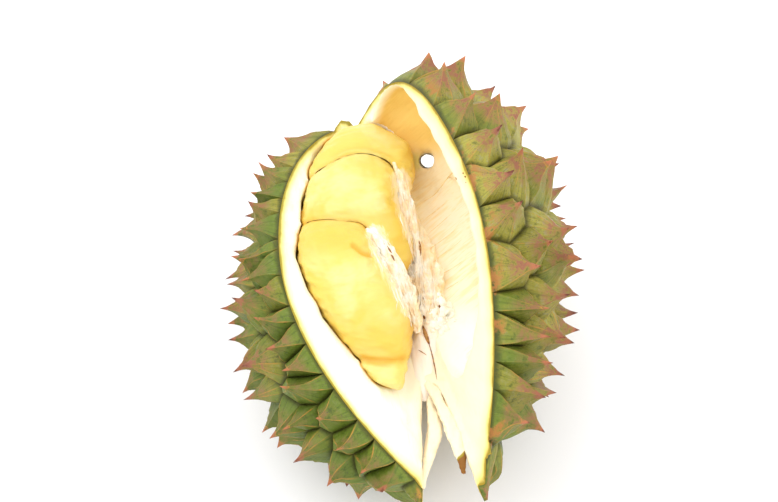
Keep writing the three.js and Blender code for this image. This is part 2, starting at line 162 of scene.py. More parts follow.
def swell(mesh: Mesh, amount: Array) -> None:
    """Moves each vertex of a mesh out along its normal.

    Args:
        mesh: The mesh, changed in place.
        amount: How far each vertex goes.
    """
    normals = np.empty(len(mesh.vertices) * 3)
    mesh.vertices.foreach_get("normal", normals)
    rows = mesh_rows(mesh) + normals.reshape(-1, 3) * amount[:, None]
    mesh.vertices.foreach_set("co", rows.ravel())
    mesh.update()


def relax_verts(shape: Net, verts: Sequence[Vert], passes: int) -> None:
    """Moves vertices halfway to the middle of their neighbours.

    Args:
        shape: The shape, changed in place.
        verts: The vertices that move.
        passes: How often they do.
    """
    for _ in range(passes):
        bmesh.ops.smooth_vert(shape, verts=verts, factor=0.5, use_axis_x=True, use_axis_y=True,
                              use_axis_z=True)


def store(mesh: Mesh, name: str, values: Array) -> None:
    """Keeps one number or one vector a vertex under a name.

    Args:
        mesh: The mesh that gets the attribute.
        name: The attribute's name, which materials read.
        values: One row for each vertex.
    """
    vector = values.ndim == 2
    kind, member = ("FLOAT_VECTOR", "vector") if vector else ("FLOAT", "value")
    old = mesh.attributes.get(name)
    if old is not None:
        mesh.attributes.remove(old)
    attribute = mesh.attributes.new(name, kind, "POINT")
    attribute.data.foreach_set(member, values.astype(np.float32).ravel())


def fetch(mesh: Mesh, name: str) -> Array:
    """Returns an attribute of a mesh, one row for each vertex."""
    attribute = mesh.attributes[name]
    vector = attribute.data_type == "FLOAT_VECTOR"
    size = 3 if vector else 1
    rows = np.empty(len(mesh.vertices) * size)
    attribute.data.foreach_get("vector" if vector else "value", rows)
    return rows.reshape(-1, 3) if vector else rows


def piece_of(name: str, shape: Net, finishes: Sequence[Material]) -> Piece:
    """Makes a scene object of a shape and frees the shape.

    Args:
        name: The piece's name.
        shape: The shape, in the units it was modelled in.
        finishes: Its materials, in the order of its faces' material numbers.

    Returns:
        The new object, linked to the scene, at the origin.
    """
    mesh = bpy.data.meshes.new(name)
    shape.to_mesh(mesh)
    shape.free()
    for finish in finishes:
        mesh.materials.append(finish)
    piece = bpy.data.objects.new(name, mesh)
    bpy.context.scene.collection.objects.link(piece)
    return piece


def combine(piece: Piece, tool: Piece, cut: Cut) -> None:
    """Cuts a tool out of a piece, or joins it on, and deletes the tool.

    Args:
        piece: The solid that stays, changed in place.
        tool: The other closed solid.
        cut: What is done with the tool.
    """
    step = piece.modifiers.new("combine", "BOOLEAN")
    step.operation = cut.value
    step.solver = "MANIFOLD"
    step.material_mode = "TRANSFER"
    step.object = tool
    graph = bpy.context.evaluated_depsgraph_get()
    mesh = bpy.data.meshes.new_from_object(piece.evaluated_get(graph), depsgraph=graph)
    piece.modifiers.clear()
    old, spare = piece.data, tool.data
    piece.data = mesh
    bpy.data.objects.remove(tool)
    bpy.data.meshes.remove(old)
    bpy.data.meshes.remove(spare)


def tree_of(mesh: Mesh) -> BVHTree:
    """Returns a mesh as a tree that can be searched for the nearest place."""
    faces = [tuple(face.vertices) for face in mesh.polygons]
    return BVHTree.FromPolygons([vert.co.copy() for vert in mesh.vertices], faces)


# ---- Node sheets ----

Socket = bpy.types.NodeSocket
Colour = tuple[float, float, float]
REFLECTED = 0.72        # share of the light that a white part of the rind would return
REFLECTED_PULP = 0.79
REFLECTED_PALE = 0.98
NOISE_MIDDLE = 0.5
FLESH_RADIUS = (0.004, 0.003, 0.0018)


def linear(red: int, green: int, blue: int, reflected: float = REFLECTED) -> Colour:
    """Turns a colour as seen into the share of light that a surface returns.

    Args:
        red: Red, 0 to 255.
        green: Green, 0 to 255.
        blue: Blue, 0 to 255.
        reflected: What a white surface returns.

    Returns:
        The linear colour.
    """
    def channel(step: int) -> float:
        """Returns one channel, linear."""
        share = step / 255.0
        return reflected * (share / 12.92 if share <= 0.04045 else ((share + 0.055) / 1.055) ** 2.4)
    return channel(red), channel(green), channel(blue)


def pale(red: int, green: int, blue: int) -> Colour:
    """Returns a colour of the fruit's pale flesh, which returns nearly all the light it gets."""
    return linear(red, green, blue, REFLECTED_PALE)


@dataclass(frozen=True)
class Grain:
    """Fractal noise: how many grains fit in a metre, its octaves, how strong the finer ones are, its
    distortion, and how many times longer it is along each axis, turned about Z by so many degrees."""

    scale: float
    detail: float = 3.0
    rough: float = 0.55
    warp: float = 0.0
    longer: Point | None = None
    turn: float = 0.0


class NodeSheet:
    """Lays out the nodes of one material, a call for each node."""

    def __init__(self, name: str) -> None:
        """Starts a material of that name with one shader."""
        self.material = bpy.data.materials.new(name)
        self.material.use_nodes = True
        self.tree = self.material.node_tree
        self.shader = self.tree.nodes["Principled BSDF"]

    def node(self, kind: str, **settings: object) -> bpy.types.Node:
        """Adds a node of a kind, with its settings."""
        node = self.tree.nodes.new(kind)
        for key, value in settings.items():
            setattr(node, key, value)
        return node

    def feed(self, socket: Socket, value: object) -> None:
        """Links a socket to another node's output, or sets its own value."""
        if isinstance(value, Socket):
            self.tree.links.new(value, socket)
        elif isinstance(value, tuple) and socket.type == "RGBA":
            socket.default_value = (*value, 1.0)
        else:
            socket.default_value = value

    def place(self) -> Socket:
        """Returns the object's own coordinates, in metres."""
        return self.node("ShaderNodeTexCoord").outputs["Object"]

    def attribute(self, name: str) -> Socket:
        """Returns a stored number of the mesh."""
        return self.node("ShaderNodeAttribute", attribute_name=name).outputs["Fac"]

    def vector(self, name: str) -> Socket:
        """Returns a stored vector of the mesh."""
        return self.node("ShaderNodeAttribute", attribute_name=name).outputs["Vector"]

    def noise(self, vector: Socket, grain: Grain) -> Socket:
        """Returns fractal noise between 0 and 1.

        Args:
            vector: The place to read.
            grain: The noise's look.

        Returns:
            The noise.
        """
        if grain.longer is not None:
            mapping = self.node("ShaderNodeMapping", vector_type="TEXTURE")
            self.feed(mapping.inputs["Vector"], vector)
            mapping.inputs["Scale"].default_value = grain.longer
            mapping.inputs["Rotation"].default_value = (0.0, 0.0, math.radians(grain.turn))
            vector = mapping.outputs["Vector"]
        node = self.node("ShaderNodeTexNoise")
        self.feed(node.inputs["Vector"], vector)
        for name, value in (("Scale", grain.scale), ("Detail", grain.detail), ("Roughness", grain.rough),
                            ("Distortion", grain.warp)):
            node.inputs[name].default_value = value
        return node.outputs["Fac"]

    def math(self, operation: str, *values: Socket | float) -> Socket:
        """Returns the result of one arithmetic step."""
        node = self.node("ShaderNodeMath", operation=operation)
        for socket, value in zip(node.inputs, values):
            self.feed(socket, value)
        return node.outputs[0]

    def product(self, *values: Socket) -> Socket:
        """Returns the product of values."""
        return reduce(lambda first, second: self.math("MULTIPLY", first, second), values)

    def total(self, *shares: tuple[Socket, float]) -> Socket:
        """Returns the sum of values, each times its own number."""
        return reduce(lambda first, second: self.math("ADD", first, second),
                      [self.math("MULTIPLY", value, number) for value, number in shares])

    def stir(self, value: Socket, noise: Socket, amount: float) -> Socket:
        """Returns a value that noise moves up and down."""
        swing = self.math("SUBTRACT", noise, NOISE_MIDDLE)
        return self.math("ADD", value, self.math("MULTIPLY", swing, amount))

    def ease(self, value: Socket, low: float, high: float, start: float = 0.0, end: float = 1.0) -> Socket:
        """Maps a value smoothly from low..high to start..end, and holds it outside.

        Args:
            value: The value to read.
            low: Where the result is start.
            high: Where the result is end.
            start: Result at low.
            end: Result at high.

        Returns:
            The mapped value.
        """
        node = self.node("ShaderNodeMapRange", interpolation_type="SMOOTHSTEP")
        for name, number in (("From Min", low), ("From Max", high), ("To Min", start), ("To Max", end)):
            node.inputs[name].default_value = number
        self.feed(node.inputs["Value"], value)
        return node.outputs["Result"]

    def blend(self, share: Socket | float, first: object, second: object, mode: str = "MIX") -> Socket:
        """Returns a blend of two colours.

        Args:
            share: 0 for the first colour, 1 for the second.
            first: A colour or a socket.
            second: A colour or a socket.
            mode: How they mix.

        Returns:
            The blended colour.
        """
        node = self.node("ShaderNodeMix", data_type="RGBA", blend_type=mode)
        self.feed(node.inputs[0], share)
        self.feed(node.inputs[6], first)
        self.feed(node.inputs[7], second)
        return node.outputs[2]

    def coat(self, ground: object, *coats: tuple[Socket, object]) -> Socket:
        """Lays coats of colour over one another.

        Args:
            ground: The lowest colour.
            *coats: For each coat, from below, how much of it shows (0 to 1) and its colour.

        Returns:
            The colour that is seen.
        """
        return reduce(lambda below, coat: self.blend(coat[0], below, coat[1]), coats, ground)

    def split(self, vector: Socket) -> tuple[Socket, Socket, Socket]:
        """Returns the three parts of a vector."""
        node = self.node("ShaderNodeSeparateXYZ")
        self.feed(node.inputs[0], vector)
        return node.outputs[0], node.outputs[1], node.outputs[2]

    def normal(self) -> Socket:
        """Returns the surface's own normal."""
        return self.node("ShaderNodeNewGeometry").outputs["Normal"]

    def bump(self, height: Socket, strength: float, distance: float) -> Socket:
        """Returns a normal that follows a height.

        Args:
            height: The height, 0 to 1.
            strength: How much of the bump is applied.
            distance: Depth in metres of a height of 1.

        Returns:
            The bumped normal.
        """
        node = self.node("ShaderNodeBump")
        node.inputs["Strength"].default_value = strength
        node.inputs["Distance"].default_value = distance
        self.feed(node.inputs["Height"], height)
        return node.outputs["Normal"]

    def dress(self, **values: object) -> Material:
        """Feeds the shader's inputs, named with _ for a space, and returns the finished material."""
        for name, value in values.items():
            self.feed(self.shader.inputs[name.replace("_", " ")], value)
        return self.material


# ---- Finishes ----


@dataclass(frozen=True)
class RindFinish:
    """Green rind: painted shade in the valleys, mottled faces, dry ridge lines, russet shoulders with a
    painted highlight on upward faces, and pinkish tips.
    """

    leaf: Colour = linear(116, 136, 42)
    deep: Colour = linear(50, 72, 20)
    olive: Colour = linear(166, 158, 58)
    lime: Colour = linear(204, 196, 82)
    grey: Colour = linear(178, 176, 130)
    valley_shade: Colour = linear(70, 66, 20)
    russet: Colour = linear(172, 108, 82)
    ridge: Colour = linear(210, 152, 66)
    tip: Colour = linear(226, 138, 88)
    burnt: Colour = linear(120, 60, 42)
    freckle: Colour = linear(98, 72, 72)
    scab: Colour = linear(196, 126, 62)
    streak_grain: Grain = Grain(900.0, rough=0.6)
    patch_grain: Grain = Grain(60.0, 4.0, 0.62)
    mottle_grain: Grain = Grain(330.0, 4.0, 0.68)
    freckle_grain: Grain = Grain(1500.0, 2.0, 0.7)

    def material(self) -> Material:
        """Builds the material.

        Returns:
            The material, which reads the attributes share, side, tone, dry, foot and sink.
        """
        sheet = NodeSheet("green_rind")
        ease = sheet.ease
        place = sheet.place()
        share, side = sheet.attribute("share"), sheet.attribute("side")
        tone, dry, sink = sheet.attribute("tone"), sheet.attribute("dry"), sheet.attribute("sink")
        foot = sheet.vector("foot")
        across, along, _ = sheet.split(place)
        streak, patch = sheet.noise(foot, self.streak_grain), sheet.noise(place, self.patch_grain)
        mottle, grain = sheet.noise(place, self.mottle_grain), sheet.noise(place, self.freckle_grain)
        _, _, facing_up = sheet.split(sheet.normal())

        ripeness = sheet.stir(sheet.stir(sheet.total((along, 3.4), (across, 4.2)), patch, 1.6), tone, 0.8)
        bloom = sheet.product(ease(mottle, 0.5, 0.68), ease(ripeness, -0.3, 0.5, 0.15, 0.7))
        # Russet shoulders with a painted highlight: the russet grows stronger on faces that turn upwards,
        # towards the light.
        russet_and_highlight = sheet.product(ease(facing_up, -0.1, 0.8, 0.25, 1.0), ease(share, 0.22, 0.66),
                              ease(ripeness, -0.9, 0.2, 0.35, 1.0),
                              ease(mottle, 0.36, 0.6, 0.1, 0.95))
        ridge = sheet.product(ease(sheet.stir(side, mottle, 0.35), 0.12, 0.02),
                              ease(share, 0.08, 0.3, 0.2, 0.85), ease(patch, 0.4, 0.58, 0.15, 1.0))
        speck = sheet.product(ease(grain, 0.62, 0.68), ease(patch, 0.42, 0.58, 0.1, 0.9))
        frayed = sheet.stir(sheet.stir(share, mottle, 0.3), tone, 0.12)
        frayed = sheet.math("ADD", frayed, sheet.math("MULTIPLY", dry, 0.5))
        scab = sheet.product(ease(sink, 6.0, 2.0), ease(sink, -2.0, 0.0),
                             ease(patch, 0.52, 0.6, 0.0, 0.8), ease(mottle, 0.36, 0.52))
        face = sheet.coat(
            self.leaf,
            (ease(ripeness, -0.5, 0.25), self.olive),
            (ease(ripeness, 0.1, 0.75, 0.0, 0.6), self.lime),
            (bloom, self.grey),
            (ease(streak, 0.45, 0.72, 0.0, 0.42), self.deep),
            (ease(mottle, 0.47, 0.3, 0.0, 0.55), self.deep),
            (russet_and_highlight, self.russet),
            (ridge, self.ridge),
            (speck, self.freckle),
            (ease(frayed, 0.82, 0.94), sheet.blend(tone, self.tip, self.russet)),
            (ease(frayed, 0.94, 1.02), self.burnt),
            # Painted shade: the valleys between the spines are darkened in the colour.
            (ease(share, 0.0, 0.14, 0.8, 0.0), self.valley_shade),
            (scab, self.scab),
        )
        height = sheet.total((streak, 0.35), (mottle, 0.65))
        return sheet.dress(Base_Color=face, Roughness=ease(mottle, 0.3, 0.7, 0.45, 0.62),
                           Specular_IOR_Level=0.3, Normal=sheet.bump(height, 0.5, 0.0014))


@dataclass(frozen=True)
class PithFinish:
    """Cream pith: yellow-green just under the rind, then soft white with faint threads, and painted shade in
    the narrow gap beside the pulp.
    """

    skin: Colour = linear(186, 166, 56)
    under: Colour = pale(240, 230, 140)
    cream: Colour = pale(253, 250, 212)
    white: Colour = pale(254, 253, 242)
    warm: Colour = pale(253, 240, 220)
    shade_by_pulp: Colour = pale(240, 192, 92)
    dried: Colour = linear(160, 108, 48)
    soft_grain: Grain = Grain(70.0, 4.0, 0.6)
    thread_grain: Grain = Grain(900.0, longer=(1.0, 7.0, 1.0), turn=12.0)

    def material(self) -> Material:
        """Builds the material.

        Returns:
            The material, which reads the attributes depth (millimetres below the rind), near (1 at the
            pulp), dry and at (the place in the opening, in metres).
        """
        sheet = NodeSheet("cream_pith")
        ease = sheet.ease
        depth, near, dry = sheet.attribute("depth"), sheet.attribute("near"), sheet.attribute("dry")
        at = sheet.vector("at")
        soft, thread = sheet.noise(sheet.place(), self.soft_grain), sheet.noise(at, self.thread_grain)
        across, _, _ = sheet.split(at)
        reach = sheet.stir(depth, soft, 2.4)
        inner = sheet.coat(self.skin, (ease(reach, 0.4, 1.9), self.under),
                           (ease(reach, 1.3, 4.2), self.cream), (ease(reach, 3.0, 9.0), self.white))
        frayed = sheet.stir(dry, soft, 0.5)
        colour = sheet.coat(
            inner,
            (ease(across, 0.012, 0.04), sheet.blend(1.0, inner, self.warm, "MULTIPLY")),
            (ease(thread, 0.55, 0.78, 0.0, 0.18), self.under),
            # Painted shade: the pith turns orange in the narrow gap beside the pulp.
            (ease(near, 0.2, 1.0, 0.0, 0.9), self.shade_by_pulp),
            (ease(frayed, 0.05, 0.3), self.skin),
            (ease(frayed, 0.45, 0.75), self.dried),
        )
        height = sheet.total((thread, 0.6), (soft, 0.4))
        return sheet.dress(Base_Color=colour, Roughness=0.72, Subsurface_Weight=0.12,
                           Subsurface_Radius=FLESH_RADIUS, Subsurface_Scale=1.0,
                           Specular_IOR_Level=0.25, Normal=sheet.bump(height, 0.35, 0.0008))


@dataclass(frozen=True)
class LiningFinish:
    """Silky lining of a bare seed chamber: ochre at the stem end as painted shade in the deep vault, cream
    and white below, streaked.
    """

    ochre_vault_shade: Colour = pale(242, 206, 112)
    straw: Colour = pale(253, 239, 202)
    cream: Colour = pale(254, 242, 216)
    white: Colour = pale(255, 251, 240)
    rim: Colour = pale(254, 247, 220)
    thread: Colour = pale(248, 222, 162)
    stain: Colour = pale(226, 208, 140)
    moss: Colour = pale(218, 210, 116)
    soft_grain: Grain = Grain(55.0)
    long_grain: Grain = Grain(420.0, 2.0, 0.5, longer=(9.0, 1.0, 9.0), turn=36.0)
    fine_grain: Grain = Grain(1300.0, 2.0, 0.5, longer=(14.0, 1.0, 14.0), turn=42.0)

    def material(self) -> Material:
        """Builds the material.

        Returns:
            The material, which reads the attributes sink (millimetres below the rim) and at (the place
            in the opening, in metres).
        """
        sheet = NodeSheet("silky_lining")
        ease = sheet.ease
        at, sink = sheet.vector("at"), sheet.attribute("sink")
        across, up, _ = sheet.split(at)
        soft = sheet.noise(at, self.soft_grain)
        long_streak, fine_streak = sheet.noise(at, self.long_grain), sheet.noise(at, self.fine_grain)
        reach = sheet.stir(up, soft, 0.016)
        fade = sheet.product(ease(reach, -0.105, -0.085), ease(up, -0.014, -0.034))
        marks = sheet.product(ease(soft, 0.62, 0.72), ease(fine_streak, 0.4, 0.6),
                              ease(across, 0.045, 0.06, 0.0, 0.4))
        beside = sheet.product(ease(across, 0.0375, 0.033), ease(up, -0.026, -0.021),
                               ease(up, -0.012, -0.017, 0.0, 0.8))
        colour = sheet.coat(
            self.straw,
            # Painted shade: the deep vault at the stem end is coloured ochre.
            (ease(reach, -0.026, -0.006), self.ochre_vault_shade),
            (ease(reach, -0.024, -0.05), self.cream),
            (ease(reach, -0.088, -0.108), self.white),
            (sheet.product(ease(long_streak, 0.5, 0.66, 0.0, 0.55), fade), self.thread),
            (sheet.product(ease(fine_streak, 0.52, 0.68, 0.0, 0.45), fade), self.thread),
            (marks, self.stain),
            (beside, self.moss),
            (ease(sink, 6.0, 0.3), self.rim),
        )
        height = sheet.total((long_streak, 0.6), (fine_streak, 0.4))
        return sheet.dress(Base_Color=colour, Roughness=0.55, Subsurface_Weight=0.1,
                           Subsurface_Radius=FLESH_RADIUS, Subsurface_Scale=1.0,
                           Specular_IOR_Level=0.35, Normal=sheet.bump(height, 0.5, 0.001))


@dataclass(frozen=True)
class PulpFinish:
    """Moist yellow pulp: pale crowns, and deeper gold as painted shade in the folds, along the seams and
    towards the sides away from the light.
    """

    crown: Colour = linear(254, 238, 156, REFLECTED_PULP)
    body: Colour = linear(253, 222, 106, REFLECTED_PULP)
    gold: Colour = linear(250, 206, 76, REFLECTED_PULP)
    fold_and_shade: Colour = linear(246, 190, 64, REFLECTED_PULP)
    veil: Colour = pale(252, 230, 182)
    bright: Colour = pale(255, 253, 236)
    soft_grain: Grain = Grain(40.0, warp=0.4)
    fine_grain: Grain = Grain(230.0, 5.0, 0.6, longer=(4.5, 1.0, 1.0), turn=14.0)
    pore_grain: Grain = Grain(1600.0, 2.0)
    strand_grain: Grain = Grain(760.0, rough=0.6, longer=(1.0, 7.0, 1.0), turn=22.0)

    def material(self) -> Material:
        """Builds the material.

        Returns:
            The material, which reads the attributes of painted shade in the folds (1 in a crease or along a
            seam), veil (1 where fibre clings to the pulp), shade (1 on the side away from the light) and at.
        """
        sheet = NodeSheet("moist_pulp")
        ease = sheet.ease
        at = sheet.vector("at")
        fold_and_shade, veil, shade = sheet.attribute("fold_and_shade"), sheet.attribute("veil"), sheet.attribute("shade")
        soft, fine = sheet.noise(at, self.soft_grain), sheet.noise(at, self.fine_grain)
        pores, strand = sheet.noise(at, self.pore_grain), sheet.noise(at, self.strand_grain)
        _, up, _ = sheet.split(at)
        reach, thick = sheet.stir(up, soft, 0.03), sheet.stir(veil, strand, 0.9)
        low = sheet.product(ease(reach, -0.082, -0.112), ease(up, -0.1215, -0.1165))
        waist = sheet.product(ease(reach, -0.036, -0.05), ease(reach, -0.074, -0.062))
        colour = sheet.coat(
            self.body,
            (ease(soft, 0.36, 0.64), self.crown),
            (ease(fine, 0.45, 0.75, 0.0, 0.45), self.body),
            (ease(sheet.math("ADD", low, waist), 0.0, 1.0, 0.0, 0.62), self.gold),
            # Painted shade: darker on the side away from the light, in the creases and along the seams
            # between segments.
            (ease(shade, 0.0, 1.0, 0.0, 0.7), self.body),
            (ease(shade, 0.55, 1.3, 0.0, 0.7), self.fold_and_shade),
            (ease(fold_and_shade, 0.0, 1.0, 0.0, 0.95), self.fold_and_shade),
            (ease(thick, 0.25, 0.65), self.veil),
            (ease(thick, 0.75, 1.1), self.bright),
        )
        height = sheet.total((fine, 0.75), (pores, 0.12))
        return sheet.dress(Base_Color=colour, Roughness=ease(fine, 0.2, 0.8, 0.38, 0.55),
                           Subsurface_Weight=0.25, Subsurface_Radius=(0.006, 0.004, 0.0012),
                           Subsurface_Scale=1.0, Specular_IOR_Level=0.4,
                           Normal=sheet.bump(height, 0.5, 0.0011))


@dataclass(frozen=True)
class CoreFinish:
    """Torn, fibrous core: peach and cream with brown flecks."""

    cream: Colour = pale(255, 247, 230)
    peach: Colour = pale(253, 224, 178)
    fleck: Colour = pale(226, 170, 108)
    face: Colour = pale(254, 242, 230)
    soft_grain: Grain = Grain(120.0, rough=0.6)
    streak_grain: Grain = Grain(700.0, rough=0.6, longer=(1.0, 8.0, 2.0), turn=8.0)
    fleck_grain: Grain = Grain(420.0, rough=0.7)

    def material(self) -> Material:
        """Builds the material.

        Returns:
            The material, which reads the attributes at and torn (0 where the core has split cleanly).
        """
        sheet = NodeSheet("torn_core")
        ease = sheet.ease
        at, torn = sheet.vector("at"), sheet.attribute("torn")
        soft, streak = sheet.noise(at, self.soft_grain), sheet.noise(at, self.streak_grain)
        fleck = sheet.noise(at, self.fleck_grain)
        ragged = sheet.coat(self.cream, (ease(soft, 0.4, 0.66), self.peach),
                            (ease(streak, 0.5, 0.7, 0.0, 0.7), self.peach),
                            (ease(fleck, 0.64, 0.74, 0.0, 0.7), self.fleck))
        colour = sheet.blend(torn, self.face, ragged)
        height = sheet.total((streak, 0.6), (soft, 0.4))
        return sheet.dress(Base_Color=colour, Roughness=0.62, Subsurface_Weight=0.2,
                           Subsurface_Radius=(0.005, 0.0035, 0.002), Subsurface_Scale=1.0,
                           Specular_IOR_Level=0.3, Normal=sheet.bump(height, 0.5, 0.0014))


@dataclass(frozen=True)
class DryFinish:
    """Thin dried bits and threads, in two patchy tones."""

    name: str = "dried_bits_and_shadow"
    colour: Colour = linear(150, 96, 50)
    pale: Colour = linear(212, 160, 96)
    patch_grain: Grain = Grain(420.0, rough=0.6)

    def material(self) -> Material:
        """Returns the material."""
        sheet = NodeSheet(self.name)
        patch = sheet.noise(sheet.place(), self.patch_grain)
        return sheet.dress(Base_Color=sheet.blend(sheet.ease(patch, 0.4, 0.64), self.colour, self.pale),
                           Roughness=0.75, Specular_IOR_Level=0.2)


@dataclass(frozen=True)
class FloorFinish:
    """Plain pale floor."""

    colour: Colour = (0.95, 0.94, 0.955)

    def material(self) -> Material:
        """Returns the material."""
        sheet = NodeSheet("floor")
        return sheet.dress(Base_Color=self.colour, Roughness=0.9, Specular_IOR_Level=0.1)


# ---- The husk's form ----


@dataclass(frozen=True)
class Meridian:
    """A lengthwise line of the husk: degrees round the axis, greatest radius, where it is widest
    (-1 apex, 1 stem end), and how blunt each end is (a smaller power is blunter)."""

    at: float
    radius: float
    widest: float
    apex: float
    stem: float


@dataclass(frozen=True)
class HuskForm:
    """The husk between its spines, in millimetres, and the angle-true map of it on a unit sphere."""

    length: float = 222.0
    splay: float = 3.55
    stem_rise: float = 4.0
    left_rim: float = 148.0
    right_rim: float = 66.0
    back_seam: float = 285.0
    stem_point: Point = (-4.3, 106.3, 85.0)
    rim_blend: float = 20.0
    seam_blend: float = 30.0
    meridians: tuple[Meridian, ...] = (
        Meridian(10.0, 76.5, 0.30, 1.22, 0.22),
        Meridian(right_rim, 72.5, 0.16, 0.92, 0.27),
        Meridian(left_rim, 62.5, 0.0, 0.95, 0.66),
        Meridian(190.0, 68.0, -0.09, 0.72, 0.60),
        Meridian(275.0, 68.0, 0.05, 0.85, 0.36),
    )
    map_steps: int = 600
    map_end: float = 0.02
    pole: float = 0.99999
    probe: float = 0.004
    probe_degrees: float = 0.5

    def axes(self, turn: Array | float) -> tuple[Array, Array, Array]:
        """Returns the axis, right and up of a half.

        Args:
            turn: Degrees that the half is turned out, one or many.

        Returns:
            Three arrays of unit vectors.
        """
        yaw = np.radians(np.asarray(turn, float))
        rise = math.radians(self.stem_rise)
        flat = np.zeros_like(yaw)
        axis = np.stack([np.sin(yaw) * math.cos(rise), np.cos(yaw) * math.cos(rise),
                         flat + math.sin(rise)], -1)
        right = np.stack([np.cos(yaw), -np.sin(yaw), flat], -1)
        return axis, right, np.cross(right, axis)

    def in_half(self, turn: Array | float, along: Array | float, degrees: Array | float,
                out: Array | float) -> Array:
        """Returns points of a half.

        Args:
            turn: Degrees that the half is turned out.
            along: Millimetres from the stem end towards the apex.
            degrees: Round the axis, from +X over the top.
            out: Millimetres from the axis.

        Returns:
            Rows of points.
        """
        axis, right, up = self.axes(turn)
        angle = np.radians(np.asarray(degrees, float))[..., None]
        radial = right * np.cos(angle) + up * np.sin(angle)
        along, out = np.asarray(along, float)[..., None], np.asarray(out, float)[..., None]
        return np.asarray(self.stem_point) - axis * along + radial * out

    def rim_normal(self, left: bool) -> Array:
        """Returns the direction square to a rim's plane, towards the husk that is kept."""
        turn, rim = (self.splay, self.left_rim) if left else (-self.splay, self.right_rim)
        axis, _, _ = self.axes(turn)
        radial = self.in_half(turn, 0.0, rim, 1.0) - np.asarray(self.stem_point)
        return np.cross(axis, radial) * (-1.0 if left else 1.0)

    def left_share(self, degrees: Array) -> Array:
        """Returns 1 on the left half and 0 on the right half, with a smooth passage between them."""
        middle = (self.left_rim + self.right_rim) / 2.0
        angle = np.mod(degrees, FULL_TURN)
        from_right = smooth(angle, middle - self.rim_blend, middle + self.rim_blend)
        low, high = self.back_seam - self.seam_blend, self.back_seam + self.seam_blend
        return from_right * (1.0 - smooth(angle, low, high))

    def turn_at(self, degrees: Array) -> Array:
        """Returns how far the husk is turned out at degrees round the axis."""
        return self.splay * (2.0 * self.left_share(degrees) - 1.0)

    def radius_at(self, s: Array, degrees: Array) -> Array:
        """Returns the distance from the axis to the husk.

        Args:
            s: Along the axis, from -1 at the apex to 1 at the stem end.
            degrees: Round the axis, 0 to 360.

        Returns:
            One radius for each pair.
        """
        table = np.array([[m.at, m.radius, m.widest, m.apex, m.stem] for m in self.meridians])
        start = (np.searchsorted(table[:, 0], degrees, side="right") - 1) % len(table)
        low, high = table[start], table[(start + 1) % len(table)]
        span = (high[:, 0] - low[:, 0]) % FULL_TURN
        step = (degrees - low[:, 0]) % FULL_TURN
        share = smooth(step / span, 0.0, 1.0)[:, None]
        _, radius, widest, apex, stem = (low + (high - low) * share).T
        return self.profile(s, radius, widest, apex, stem)

    @staticmethod
    def profile(s: Array, radius: Array | float, widest: Array | float, apex: Array | float,
                stem: Array | float) -> Array:
        """Returns the radius of one meridian along the axis.

        Args:
            s: Along the axis.
            radius: Greatest radius.
            widest: Where it is reached.
            apex: Power of the apex end.
            stem: Power of the stem end.

        Returns:
            One radius for each s.
        """
        to_stem = s > widest
        reach = np.where(to_stem, 1.0 - widest, 1.0 + widest)
        x = (s - widest) / reach
        return radius * np.maximum(0.0, 1.0 - x * x) ** np.where(to_stem, stem, apex)

    def point(self, s: Array, degrees: Array) -> Array:
        """Returns places on the husk between its spines."""
        degrees = np.mod(degrees, FULL_TURN)
        along = (1.0 - s) * self.length / 2.0
        return self.in_half(self.turn_at(degrees), along, degrees, self.radius_at(s, degrees))

    def tangents(self, s: Array, degrees: Array) -> tuple[Array, Array]:
        """Returns the change of place along the axis and round it.

        Args:
            s: Along the axis.
            degrees: Round the axis.

        Returns:
            Rows of vectors per unit of s and per degree.
        """
        low, high = np.maximum(-1.0, s - self.probe), np.minimum(1.0, s + self.probe)
        along = (self.point(high, degrees) - self.point(low, degrees)) / (high - low)[:, None]
        turned = self.point(s, degrees + self.probe_degrees) - self.point(s, degrees - self.probe_degrees)
        return along, turned / (2.0 * self.probe_degrees)

    def normal(self, s: Array, degrees: Array) -> Array:
        """Returns the outward normals of the husk between its spines."""
        along, turned = self.tangents(s, degrees)
        return unit(np.cross(along, turned))

    @cached_property
    def sphere_map(self) -> dict[str, Array]:
        """Columns s, height (isometric latitude) and area (from the apex on) of the mean meridian."""
        mean = [float(np.mean([getattr(m, key) for m in self.meridians]))
                for key in ("radius", "widest", "apex", "stem")]
        end = math.pi / 2.0 - self.map_end
        s = np.sin(np.linspace(-end, end, self.map_steps + 1))
        radius = self.profile(s, *mean)
        step = np.hypot(np.diff(s) * self.length / 2.0, np.diff(radius))
        middle = (radius[1:] + radius[:-1]) / 2.0
        height = np.concatenate([[0.0], np.cumsum(step / middle)])
        area = np.concatenate([[0.0], np.cumsum(step * middle)])
        height -= height[np.searchsorted(s, mean[1], side="right") - 1]
        return {"s": s, "height": height, "area": area}

    def to_sphere(self, s: Array, degrees: Array) -> Array:
        """Returns unit directions that stand for places on the husk."""
        latitude = 2.0 * np.arctan(np.exp(np.interp(s, self.sphere_map["s"], self.sphere_map["height"])))
        latitude -= math.pi / 2.0
        ring, angle = np.cos(latitude), np.radians(degrees)
        return np.stack([ring * np.cos(angle), np.sin(latitude), ring * np.sin(angle)], -1)

    def from_sphere(self, directions: Array) -> tuple[Array, Array]:
        """Returns s and degrees of directions, the reverse of to_sphere."""
        rows = unit(directions)
        height = np.arctanh(np.clip(rows[:, 1], -self.pole, self.pole))
        s = np.interp(height, self.sphere_map["height"], self.sphere_map["s"])
        return s, np.mod(np.degrees(np.arctan2(rows[:, 2], rows[:, 0])), FULL_TURN)


class ParkMiller:
    """Repeatable stream of numbers between 0 and 1."""

    FACTOR = 16807
    MODULUS = 2147483647

    def __init__(self, seed: int) -> None:
        """Starts the stream at a seed."""
        self.state = seed

    def draw(self) -> float:
        """Returns the next number."""
        self.state = self.state * self.FACTOR % self.MODULUS
        return self.state / self.MODULUS


